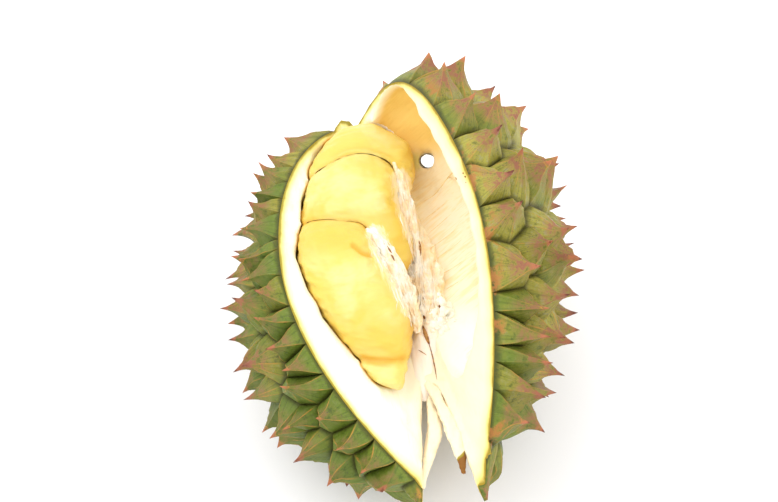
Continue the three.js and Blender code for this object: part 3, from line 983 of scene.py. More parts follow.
@dataclass(frozen=True)
class SpineField:
    """Where the spines stand on the husk, how high each is and which way it leans."""

    form: HuskForm
    left_pitch: float = 19.5
    right_pitch: float = 23.0
    left_height: float = 16.5
    right_height: float = 19.0
    pole_shrink: float = 0.3
    spread: float = 0.12
    lean: float = 0.20
    pole_power: int = 8
    pole_limit: float = 0.992
    rim_margin: float = 1.0
    scatter: float = 0.02
    same: float = 1e-6
    rounds: int = 40
    reach: float = 1.45
    step: float = 0.30
    seed: int = 4711

    @property
    def kept_from(self) -> float:
        """Degrees of the left rim, where the kept husk starts."""
        return self.form.left_rim

    @property
    def kept_to(self) -> float:
        """Degrees of the right rim, a turn on, where the kept husk ends."""
        return self.form.right_rim + FULL_TURN

    def pitch_at(self, degrees: Array) -> Array:
        """Returns the distance between spines at degrees round the axis."""
        return self.right_pitch + (self.left_pitch - self.right_pitch) * self.form.left_share(degrees)

    def height_at(self, degrees: Array) -> Array:
        """Returns the height of spines at degrees round the axis."""
        return self.right_height + (self.left_height - self.right_height) * self.form.left_share(degrees)

    def stations(self) -> tuple[Array, Array]:
        """Returns s and degrees of evenly spaced spines on the kept husk."""
        random = ParkMiller(self.seed)
        table = self.form.sphere_map
        step = np.arange(self.kept_from, self.kept_to)
        cell = self.pitch_at(step + 0.5) ** 2 * math.sqrt(3.0) / 2.0
        counts = np.concatenate([[0.0], np.cumsum(math.tau * table["area"][-1] / FULL_TURN / cell)])
        count = round(counts[-1])
        golden = (math.sqrt(5.0) - 1.0) / 2.0
        order = np.arange(count)
        s = np.interp((order + 0.5) / count * table["area"][-1], table["area"], table["s"])
        turn = np.array([(i * golden + random.draw() * self.scatter) % 1.0 for i in order])
        degrees = self.kept_from + np.interp(turn * counts[-1], counts, np.arange(len(counts)))
        for _ in range(self.rounds):
            s, degrees = self.relax(s, degrees)
        return s, degrees

    def relax(self, s: Array, degrees: Array) -> tuple[Array, Array]:
        """Pushes each station away from its neighbours and their images beyond the rims, once.

        Args:
            s: Along the axis.
            degrees: Round the axis.

        Returns:
            The moved s and degrees.
        """
        pitch = self.pitch_at(degrees)
        reach = self.reach * pitch[:, None]
        points = self.form.point(s, degrees)
        images = [self.form.point(s, 2.0 * rim - degrees) for rim in (self.kept_from, self.kept_to)]
        away = points[:, None, :] - np.concatenate([points, *images])[None, :, :]
        distance = np.linalg.norm(away, axis=2)
        near = (distance > self.same) & (distance < reach)
        safe = np.where(near, distance, 1.0)
        weight = np.where(near, (1.0 - safe / reach) ** 2 / safe, 0.0)
        moves = (away * weight[..., None]).sum(axis=1) * (self.step * pitch)[:, None]
        along, turned = self.form.tangents(s, degrees)
        s = s + (moves * along).sum(1) / (along**2).sum(1)
        degrees = degrees + (moves * turned).sum(1) / (turned**2).sum(1)
        return (np.clip(s, -self.pole_limit, self.pole_limit),
                np.clip(degrees, self.kept_from + self.rim_margin, self.kept_to - self.rim_margin))

    def grow(self, s: Array, degrees: Array) -> Array:
        """Returns the vector from foot to tip of the spine at each station."""
        random = ParkMiller(self.seed + 1)
        rises = []
        for normal, place, tall in zip(self.form.normal(s, degrees), s, self.height_at(degrees)):
            lean = np.array([random.draw() - 0.5 for _ in range(3)]) * 2.0 * self.lean
            height = tall * (1.0 + self.spread * (2.0 * random.draw() - 1.0))
            rises.append(unit(normal + lean) * height * (1.0 - self.pole_shrink * place**self.pole_power))
        return np.array(rises)

    def all_spines(self) -> tuple[Array, Array, int]:
        """Spines of the closed body: the kept ones, then mirror images over the missing front.

        Returns:
            Directions on the sphere, vectors from foot to tip, and how many are kept.
        """
        s, degrees = self.stations()
        middle = (self.form.left_rim + self.form.right_rim) / 2.0
        front: list[Span] = []
        for place, angle in zip(s, degrees):
            left, right = 2.0 * self.kept_from - angle, 2.0 * self.kept_to - angle
            front += [(place, left)] if left > middle else []
            front += [(place, right)] if right < middle + FULL_TURN else []
        front_s, front_degrees = np.array(front).T
        rises = np.concatenate([self.grow(s, degrees), self.grow(front_s, front_degrees)])
        directions = self.form.to_sphere(np.concatenate([s, front_s]),
                                         np.concatenate([degrees, front_degrees]))
        return directions, rises, len(s)


# ---- The husk ----


@dataclass(frozen=True)
class SpinyBody:
    """Closed spiny body: a pyramid with steep shoulders and a drawn-out, hooked tip on each cell."""

    spines: SpineField
    cuts: int = 9
    corner_bias: float = 2.0
    margin_degrees: float = 12.0
    shoulder: float = 0.20
    flank: float = 0.48
    hollow: float = 0.7
    hook: float = 0.18
    hook_range: Span = (0.4, 1.6)
    shoulder_power: int = 5
    tip_power: int = 6
    hook_power: int = 4
    lumps: tuple[Wave, ...] = (Wave(0.30, 9.0, 5), Wave(0.16, 3.4, 6))
    notches: Wave = Wave(0.5, 2.6, 7)
    sway: Wave = Wave(0.45, 15.0, 8)
    least_share: float = 0.02
    most_share: float = 0.995
    foot_share: float = 0.08
    half_side: float = 0.065
    sphere_size: float = 0.07
    same_corner: float = 0.0002
    rim_clear: float = 0.25
    rim_reach: float = 70.0
    seed: int = 23

    def cells(self) -> Net:
        """Lays the cells out on a unit sphere: each face runs from a spine to one side of its cell.

        Returns:
            The net, with the layers share, tone, rise, aim and hook, each weighted by the share.
        """
        directions, rises, kept_count = self.spines.all_spines()
        random = np.random.default_rng(self.seed)
        net = bmesh.new()
        share = net.verts.layers.float.new("share")
        tone = net.verts.layers.float.new("tone")
        rise = net.verts.layers.float_vector.new("rise")
        aim = net.verts.layers.float_vector.new("aim")
        hook = net.verts.layers.float_vector.new("hook")
        kept: dict[Vert, bool] = {}
        for order, (direction, vector) in enumerate(zip(directions, rises)):
            vert = net.verts.new(direction)
            kept[vert] = order < kept_count
            vert[share], vert[tone] = 1.0, random.random()
            vert[rise], vert[aim] = Vector(vector), Vector(direction)
            sideways = Vector(np.cross(vector, random.normal(size=3)))
            bent = self.hook * random.uniform(*self.hook_range) * Vector(vector).length
            vert[hook] = sideways.normalized() * bent
        bmesh.ops.convex_hull(net, input=net.verts[:])
        sides = net.edges[:]
        corners = bmesh.ops.poke(net, faces=net.faces[:])["verts"]
        net.normal_update()
        places = {}
        for corner in corners:
            normal = corner.link_faces[0].normal.copy()
            around = {kept[vert] for face in corner.link_faces for vert in face.verts if vert is not corner}
            biased = (corner.co.normalized() + self.corner_bias * normal).normalized()
            places[corner] = normal if len(around) > 1 else biased
        bmesh.ops.dissolve_edges(net, edges=sides, use_verts=False)
        bmesh.ops.connect_verts(net, verts=corners, check_degenerate=False)
        for corner, place in places.items():
            corner.co = place
            corner[share] = corner[tone] = 0.0
            corner[rise] = corner[aim] = corner[hook] = Vector((0.0, 0.0, 0.0))
        bmesh.ops.remove_doubles(net, verts=corners, dist=self.same_corner)
        return net

    def build(self, rind: Material) -> Piece:
        """Raises the spines.

        Args:
            rind: The finish of the whole body.

        Returns:
            The closed body, in millimetres, with the attributes share, side, tone and foot.
        """
        net = self.cells()
        corners = KDTree(len(net.verts))
        share_layer = net.verts.layers.float["share"]
        for vert in net.verts:
            if vert[share_layer] == 0.0:
                corners.insert(vert.co, vert.index)
        corners.balance()
        _, degrees = self.spines.form.from_sphere(np.array([vert.co[:] for vert in net.verts]))
        front_from = self.spines.kept_to - FULL_TURN + self.margin_degrees
        front_to = self.spines.kept_from - self.margin_degrees
        kept = {vert for vert, angle in zip(net.verts, degrees) if not front_from < angle < front_to}
        fine = [edge for edge in net.edges if edge.verts[0] in kept or edge.verts[1] in kept]
        bmesh.ops.subdivide_edges(net, edges=fine, cuts=self.cuts, use_grid_fill=True)
        bmesh.ops.triangulate(net, faces=[face for face in net.faces if len(face.verts) > 3])
        body = piece_of("rind_body", net, [rind])
        self.raise_spines(body.data, corners)
        return body

    def raise_spines(self, mesh: Mesh, corners: KDTree) -> None:
        """Moves the net out onto the husk and shapes its spines.

        Args:
            mesh: The net, changed in place.
            corners: The corners of the cells.
        """
        flat = mesh_rows(mesh)
        share = fetch(mesh, "share")
        weight = np.maximum(share, 1e-4)[:, None]
        rise = fetch(mesh, "rise") / weight
        hook = fetch(mesh, "hook") / weight
        tone = np.where(share > self.least_share, fetch(mesh, "tone") / weight[:, 0], 0.5)
        rest = np.maximum(1.0 - share, 1e-3)[:, None]
        foot = np.where(share[:, None] < self.most_share, (flat - fetch(mesh, "aim")) / rest, flat)
        gap = np.array([corners.find(Vector(row))[2] for row in foot])
        side = np.clip(gap / self.half_side, 0.0, 1.0)

        form = self.spines.form
        s, degrees = form.from_sphere(flat)
        base = form.point(s, degrees)
        tip = 1.0 - self.shoulder - self.flank
        rising = (self.shoulder * (1.0 - (1.0 - share) ** self.shoulder_power) + self.flank * share
                  + tip * share**self.tip_power)
        height = np.linalg.norm(rise, axis=1)
        sink = self.hollow * side * (1.0 - share) * smooth(share, 0.0, 0.25)
        uneven = relief(base, self.lumps) + self.notches.at(base) * (1.0 - smooth(side, 0.0, 0.25)) * share
        lift = uneven * smooth(share, 0.0, 0.2) + self.sway.at(base) - sink
        lifted = rising + lift / np.maximum(height, 1.0)
        places = base + rise * lifted[:, None] + hook * (share**self.hook_power)[:, None]
        for left, rim in ((True, form.left_rim), (False, form.right_rim)):
            inward = form.rim_normal(left)
            offset = np.mod(degrees - rim + FULL_TURN / 2.0, FULL_TURN) - FULL_TURN / 2.0
            kept = np.sign(offset) if left else -np.sign(offset)
            beyond = (places - np.asarray(form.stem_point)) @ inward * kept
            short = np.clip(self.rim_clear * smooth(share, 0.0, self.foot_share) - beyond, 0.0, None)
            places += inward * (short * kept * (np.abs(offset) < self.rim_reach))[:, None]
        mesh.vertices.foreach_set("co", places.ravel())
        foot *= self.sphere_size
        for name, values in (("share", share), ("side", side), ("tone", tone), ("foot", foot)):
            store(mesh, name, values)
        for name in ("rise", "aim", "hook"):
            mesh.attributes.remove(mesh.attributes[name])
        mesh.update()


@dataclass(frozen=True)
class Opening:
    """Places in the opening: across to the right, up towards the stem end, and lift towards the
    viewer from the sloping plane that holds both axes. Millimetres from the stem end."""

    origin: Point = HuskForm.stem_point
    turn: float = 12.75
    tilt: float = 50.0
    slope: float = 0.726

    @cached_property
    def axes(self) -> Array:
        """Rows across, up and out."""
        turn, tilt = math.radians(self.turn), math.radians(self.tilt)
        return np.array([
            [math.cos(turn), -math.sin(turn), 0.0],
            [math.sin(turn) * math.sin(tilt), math.cos(turn) * math.sin(tilt), math.cos(tilt)],
            [-math.sin(turn) * math.cos(tilt), -math.cos(turn) * math.cos(tilt), math.sin(tilt)],
        ])

    def place(self, across: Array | float, up: Array | float, lift: Array | float) -> Array:
        """Returns rows of points for places in the opening."""
        across, up, lift = np.broadcast_arrays(across, up, lift)
        local = np.stack([across, up, lift - self.slope * up], -1).astype(float)
        return np.asarray(self.origin) + local @ self.axes

    def read(self, points: Array) -> Array:
        """Returns across, up and lift of rows of points."""
        local = (points - np.asarray(self.origin)) @ self.axes.T
        local[:, 2] += self.slope * local[:, 1]
        return local


Outline = tuple[Span, ...]
LINE_STEPS = 24  # between two points of a line
TINY = 1e-6


def blend_rows(t: Array, low: float, high: float, before: Array, after: Array) -> Array:
    """Returns rows of points between two ends, as t runs from a low to a high knot."""
    return (high - t) / (high - low) * before + (t - low) / (high - low) * after


def smooth_line(points: Array | Outline, closed: bool, count: int) -> Array:
    """Runs a smooth curve through points and returns places evenly spaced along it.

    Args:
        points: Rows of points.
        closed: Whether the curve returns to its start.
        count: How many places; on a closed curve the start isn't repeated.

    Returns:
        Rows of points.
    """
    rows = np.asarray(points, float)
    if closed:
        padded = np.concatenate([rows[-1:], rows, rows[:2]])
    else:
        padded = np.concatenate([2.0 * rows[:1] - rows[1:2], rows, 2.0 * rows[-1:] - rows[-2:-1]])
    steps = np.linspace(0.0, 1.0, LINE_STEPS, endpoint=False)[:, None]
    dense = []
    for a, b, c, d in zip(padded, padded[1:], padded[2:], padded[3:]):
        knots = np.concatenate([[0.0], np.cumsum([math.sqrt(np.linalg.norm(q - p) + 1e-9)
                                                  for p, q in ((a, b), (b, c), (c, d))])])
        t = knots[1] + (knots[2] - knots[1]) * steps
        first = [blend_rows(t, knots[i], knots[i + 1], p, q)
                 for i, (p, q) in enumerate(((a, b), (b, c), (c, d)))]
        second = [blend_rows(t, knots[i], knots[i + 2], first[i], first[i + 1]) for i in (0, 1)]
        dense.append(blend_rows(t, knots[1], knots[2], *second))
    curve = np.concatenate([*dense, rows[:1] if closed else rows[-1:]])
    length = np.concatenate([[0.0], np.cumsum(np.linalg.norm(np.diff(curve, axis=0), axis=1))])
    wanted = np.linspace(0.0, length[-1], count, endpoint=not closed)
    return np.stack([np.interp(wanted, length, column) for column in curve.T], -1)


def ball(sides: int, rings: int) -> tuple[Net, Array, Array]:
    """Makes a round net to be shaped.

    Args:
        sides: Faces round it.
        rings: Faces from pole to pole.

    Returns:
        The net, and for each vertex its turn (0 to 1) and its fall (0 to 1) from pole to pole.
    """
    net = bmesh.new()
    bmesh.ops.create_uvsphere(net, u_segments=sides, v_segments=rings, radius=1.0)
    rows = np.array([vert.co[:] for vert in net.verts])
    turn = np.mod(np.arctan2(rows[:, 1], rows[:, 0]) / math.tau, 1.0)
    return net, turn, np.arccos(np.clip(rows[:, 2], -1.0, 1.0)) / math.pi


def put(net: Net, rows: Array) -> None:
    """Moves the vertices of a net to rows of places and turns its faces outwards."""
    for vert, row in zip(net.verts, rows):
        vert.co = row
    if net.calc_volume(signed=True) < 0.0:
        bmesh.ops.reverse_faces(net, faces=net.faces[:])


@dataclass(frozen=True)
class Cushion:
    """Crowned solid on a closed outline, which bulges to the front and the back."""

    outline: Outline
    front: float
    back: float
    lift: float = 0.0
    tilt: float = 0.0
    fullness: float = 0.8
    rim_points: int = 720

    def shape(self, place: Callable[[Array, Array, Array], Array], grow: float = 0.0,
              sides: int = 72, rings: int = 48) -> Net:
        """Builds the solid.

        Args:
            place: Turns x, y and lift into points.
            grow: Millimetres added all round.
            sides: Faces round the outline.
            rings: Faces from front to back.

        Returns:
            The closed shape, in millimetres.
        """
        net, turn, fall = ball(sides, rings)
        rim = smooth_line(self.outline, True, self.rim_points)
        centre = rim.mean(axis=0)
        edge = rim - centre
        edge *= 1.0 + grow / np.linalg.norm(edge, axis=1, keepdims=True)
        at = between(np.concatenate([edge, edge[:1]]), turn)
        rise = np.cos(fall * math.pi)
        flat = centre + at * (np.sin(fall * math.pi).clip(0.0) ** self.fullness)[:, None]
        crown = np.where(rise > 0.0, self.front + grow, self.back + grow)
        lift = self.lift + crown * np.sign(rise) * np.abs(rise) ** self.fullness
        put(net, place(flat[:, 0], flat[:, 1], lift + self.tilt * (flat[:, 1] - centre[1])))
        return net


@dataclass(frozen=True)
class Bar:
    """Bent bar through stops, each an across, up and lift with a half width and a half depth. Its skin
    is raised in lumps of a share of its size, and a square below 1 makes its section boxy."""

    stops: tuple[tuple[float, float, float, float, float], ...]
    lump: float = 0.0
    square: float = 1.0
    path_points: int = 400
    lump_turns: Span = (3.0, 2.0)
    lump_falls: Span = (9.0, 26.0)

    def shape(self, opening: Opening, sides: int, rings: int) -> Net:
        """Builds the bar.

        Args:
            opening: Places the bar.
            sides: Faces round it.
            rings: Faces along it.

        Returns:
            The closed shape, in millimetres.
        """
        net, turn, fall = ball(sides, rings)
        stops = np.array(self.stops, float)
        at = between(smooth_line(stops[:, :3], False, self.path_points), fall)
        angle = turn * math.tau
        broad, fine = (np.sin(turns * angle + falls * fall)
                       for turns, falls in zip(self.lump_turns, self.lump_falls))
        ends = (fall < TINY) | (fall > 1.0 - TINY)
        bump = np.where(ends, 0.0, 1.0 + self.lump * broad * fine)
        wide, deep = bump * between(stops[:, 3:], fall).T
        sideways, outward = (np.sign(swing) * np.abs(swing) ** self.square
                             for swing in (np.cos(angle), np.sin(angle)))
        put(net, opening.place(at[:, 0] + wide * sideways, at[:, 1], at[:, 2] + deep * outward))
        return net


@dataclass(frozen=True)
class Husk:
    """The husk: a spiny body with its front valve gone, two chambers, a split apex and a wormhole."""

    form: HuskForm
    opening: Opening
    rooms: tuple[Cushion, ...]
    far: float = 200.0
    before_stem: float = 60.0
    beyond_apex: float = 40.0
    clear_of_axis: float = 8.0
    chamber: Outline = (
        (6, 22), (5, 38), (18, 49), (45, 54), (70, 57.5), (98, 60.5), (120, 57.5), (142, 48), (158, 34),
        (168, 20), (170, 8), (160, 3), (130, 4), (90, 5), (50, 5), (17, 8))
    chamber_depth: float = 26.0
    split: Outline = ((35, -132), (33.5, -150), (34, -178), (30, -215), (75, -215), (59.8, -176),
                      (53.8, -161), (50.2, -151), (45.8, -141), (41.8, -132.6))
    hole_inside: Point = (38.2, -19.9, 30.55)
    hole_outside: Point = (42.7, -9.4, -156.82)
    hole_radius: float = 4.3
    room_ease: float = 0.7
    finest: float = 3.1
    coarse: float = 7.0
    refine_rounds: int = 7
    behind_pulp: Point = (22.0, -112.0, 7.0)
    deep_from: float = -22.0
    soften_passes: int = 6
    waves: tuple[Wave, ...] = (Wave(0.42, 17.0, 31), Wave(0.14, 6.0, 32))
    pulp_reach: float = 9.0
    # Distances from the pulp over which the painted shade beside it fades.
    shade_by_pulp: Span = (0.4, 2.0)
    merge: float = 0.003
    hole_sides: int = 28
    stem_tuft: Point = (45.0, 36.0, 5.0)
    tuft_reach: float = 16.0

    def front_cut(self) -> Net:
        """Returns all that lies above the two rim planes and between the axes."""
        wedge = bmesh.new()
        wedge.verts.new(self.form.stem_point)
        ends = ((-self.before_stem, self.clear_of_axis), (self.form.length + self.beyond_apex, 0.0))
        for turn, rim in ((self.form.splay, self.form.left_rim), (-self.form.splay, self.form.right_rim)):
            for along, inner in ends:
                for out in (inner, self.far):
                    wedge.verts.new(self.form.in_half(turn, along, rim, out))
        bmesh.ops.convex_hull(wedge, input=wedge.verts[:])
        return wedge

    def chamber_cut(self) -> Net:
        """Returns the bare seed chamber of the right half."""
        turn, rim, normal = -self.form.splay, self.form.right_rim, self.form.rim_normal(False)

        def place(along: Array, out: Array, lift: Array) -> Array:
            """Returns points of the rim's plane, lifted off it."""
            return self.form.in_half(turn, along, rim, out) + normal * lift[:, None]

        return Cushion(self.chamber, self.chamber_depth, self.chamber_depth).shape(place)

    def split_cut(self) -> Net:
        """Returns the wedge between the halves where they have parted at the apex."""
        prism = bmesh.new()
        across, up = np.array(self.split).T
        face = prism.faces.new([prism.verts.new(row) for row in self.opening.place(across, up, -self.far)])
        top = bmesh.ops.extrude_face_region(prism, geom=[face])["geom"]
        raised = [item for item in top if isinstance(item, Vert)]
        bmesh.ops.translate(prism, verts=raised, vec=Vector(self.opening.axes[2] * 2.0 * self.far))
        bmesh.ops.recalc_face_normals(prism, faces=prism.faces[:])
        return prism

    def hole_cut(self) -> Net:
        """Returns the wormhole, out through the rind behind the chamber."""
        ends = [Vector(self.opening.place(*end)) for end in (self.hole_inside, self.hole_outside)]
        run = ends[1] - ends[0]
        drill = bmesh.new()
        bmesh.ops.create_cone(drill, cap_ends=True, segments=self.hole_sides, radius1=self.hole_radius,
                              radius2=self.hole_radius, depth=run.length)
        turn = run.to_track_quat("Z", "Y").to_matrix().to_4x4()
        middle = Matrix.Translation((ends[0] + ends[1]) / 2.0)
        bmesh.ops.transform(drill, matrix=middle @ turn, verts=drill.verts[:])
        return drill

    def ground_cut(self) -> Net:
        """Returns everything below the ground."""
        slab = bmesh.new()
        bmesh.ops.create_cube(slab, size=2.0 * self.far)
        bmesh.ops.translate(slab, verts=slab.verts[:], vec=(0.0, 0.0, -self.far))
        return slab

    def build(self, body: Piece, finishes: dict[str, Material],
              pulp: Sequence[BVHTree]) -> Piece:
        """Cuts the body open and finishes its inner faces.

        Args:
            body: The closed spiny body, in millimetres.
            finishes: The materials rind, pith and lining.
            pulp: The pulp that lies in the left chamber.

        Returns:
            The husk, in millimetres.
        """
        skin = tree_of(body.data)
        steps = [(self.front_cut(), "pith"), (self.chamber_cut(), "lining"), (self.split_cut(), "pith")]
        steps += [(room.shape(self.opening.place, self.room_ease), "pith") for room in self.rooms]
        steps += [(self.hole_cut(), "pith"), (self.ground_cut(), "rind")]
        for shape, finish in steps:
            combine(body, piece_of("tool", shape, [finishes[finish]]), Cut.TAKE_AWAY)
        body.name = body.data.name = "husk_dressed"
        rind = [material.name for material in body.data.materials].index(finishes["rind"].name)
        shape = bmesh.new()
        shape.from_mesh(body.data)
        self.keep_largest(shape)
        bmesh.ops.remove_doubles(shape, verts=shape.verts[:], dist=self.merge)
        self.refine(shape, rind)
        self.shed_pairs(shape)
        self.soften(body.data, shape, rind)
        shape.free()
        self.measure(body.data, skin, pulp)
        return body

    @staticmethod
    def keep_largest(shape: Net) -> None:
        """Deletes all but the largest connected part of a shape."""
        left = set(shape.verts)
        parts: list[set[Vert]] = []
        while left:
            part, queue = set(), [left.pop()]
            while queue:
                vert = queue.pop()
                part.add(vert)
                for edge in vert.link_edges:
                    other = edge.other_vert(vert)
                    if other in left:
                        left.discard(other)
                        queue.append(other)
            parts.append(part)
        parts.sort(key=len)
        bmesh.ops.delete(shape, geom=[vert for part in parts[:-1] for vert in part], context="VERTS")

    def refine(self, shape: Net, rind: int) -> None:
        """Gives the cut faces short edges, so that they can take relief.

        Args:
            shape: The cut husk, changed in place.
            rind: Material number of the rind, whose faces stay as they are.
        """
        for _ in range(self.refine_rounds):
            inner = [face for face in shape.faces if face.material_index != rind]
            bmesh.ops.triangulate(shape, faces=[face for face in inner if len(face.verts) > 3])
            edges = [edge for edge in shape.edges
                     if all(face.material_index != rind for face in edge.link_faces)]
            sums = np.array([(edge.verts[0].co + edge.verts[1].co)[:] for edge in edges])
            places = self.opening.read(sums / 2.0)
            most_across, least_up, most_lift = self.behind_pulp
            hidden = (places[:, 2] < most_lift) & (places[:, 0] < most_across) & (places[:, 1] > least_up)
            hidden |= places[:, 2] < self.deep_from
            allowed = np.where(hidden, self.coarse, self.finest)
            long = [edge for edge, most in zip(edges, allowed) if edge.calc_length() > most]
            if not long:
                break
            bmesh.ops.subdivide_edges(shape, edges=long, cuts=1)
        bmesh.ops.triangulate(shape, faces=[face for face in shape.faces if len(face.verts) > 3])
        inner = [face for face in shape.faces if face.material_index != rind]
        own = {edge for face in inner for edge in face.edges
               if all(other.material_index == face.material_index for other in edge.link_faces)}
        bmesh.ops.beautify_fill(shape, faces=inner, edges=list(own))

    @staticmethod
    def shed_pairs(shape: Net) -> None:
        """Drops the faces that lie back to back in pairs where very thin faces were divided.

        Args:
            shape: The refined husk, changed in place.
        """
        shape.verts.index_update()
        single: dict[frozenset[int], bmesh.types.BMFace] = {}
        paired = []
        for face in shape.faces:
            corners = frozenset(vert.index for vert in face.verts)
            if corners in single:
                paired += [face, single.pop(corners)]
            else:
                single[corners] = face
        bmesh.ops.delete(shape, geom=paired, context="FACES")

    def soften(self, mesh: Mesh, shape: Net, rind: int) -> None:
        """Rounds the inner edges and makes the cut faces a little uneven.

        Args:
            mesh: Receives the result.
            shape: The refined husk.
            rind: Material number of the rind.
        """
        inner = [vert for vert in shape.verts if all(face.material_index != rind for face in vert.link_faces)]
        relax_verts(shape, inner, self.soften_passes)
        shape.normal_update()
        rise = relief(np.array([vert.co[:] for vert in inner]), self.waves)
        for vert, amount in zip(inner, rise):
            vert.co += vert.normal * amount
        shape.to_mesh(mesh)

    def measure(self, mesh: Mesh, skin: BVHTree, pulp: Sequence[BVHTree]) -> None:
        """Stores where each vertex lies: in the opening, below the skin, below the rim, near pulp.

        Args:
            mesh: The husk, in millimetres.
            skin: The spiny skin before it was cut.
            pulp: The pulp that lies in the left chamber.
        """
        rows = mesh_rows(mesh)
        store(mesh, "at", self.opening.read(rows) * MM)
        store(mesh, "depth", np.array([skin.find_nearest(Vector(row))[3] for row in rows]))
        gap = np.full(len(rows), self.pulp_reach)
        for tree in pulp:
            found = [tree.find_nearest(Vector(row), self.pulp_reach)[3] for row in rows]
            gap = np.minimum(gap, [self.pulp_reach if reach is None else reach for reach in found])
        # near: how much shade is painted on the pith in the narrow gap beside the pulp, 1 at the pulp.
        store(mesh, "near", 1.0 - smooth(gap, *self.shade_by_pulp))
        store(mesh, "sink", (rows - np.asarray(self.form.stem_point)) @ self.form.rim_normal(False))
        stem = self.opening.place(*self.stem_tuft)
        near_stem = 1.0 - smooth(np.linalg.norm(rows - stem, axis=1), self.tuft_reach / 3.0, self.tuft_reach)
        store(mesh, "dry", near_stem)


# ---- Pulp ----


@dataclass(frozen=True)
class Crease:
    """A line on the pulp as across and up, with its half width and depth in millimetres."""

    line: Outline
    width: float
    depth: float
    # How strongly the line is coloured: painted shade along a crease, white fibre along a veil.
    colour: float = 1.0
    above: float = 16.0
    edge: float = 6.0
    steps: int = 60
    taper: Span = (-0.02, 0.12)

    def near(self, local: Array) -> Array:
        """Returns how near places in the opening are to the line, 1 on it."""
        line = smooth_line(self.line, False, self.steps)
        apart = np.linalg.norm(local[:, None, :2] - line[None], axis=2)
        along = np.argmin(apart, axis=1) / (self.steps - 1.0)
        taper = smooth(np.minimum(along, 1.0 - along), *self.taper)
        near = np.exp(-((apart.min(axis=1) / self.width) ** 2)) * taper
        return near * smooth(local[:, 2], self.above, self.above + self.edge)


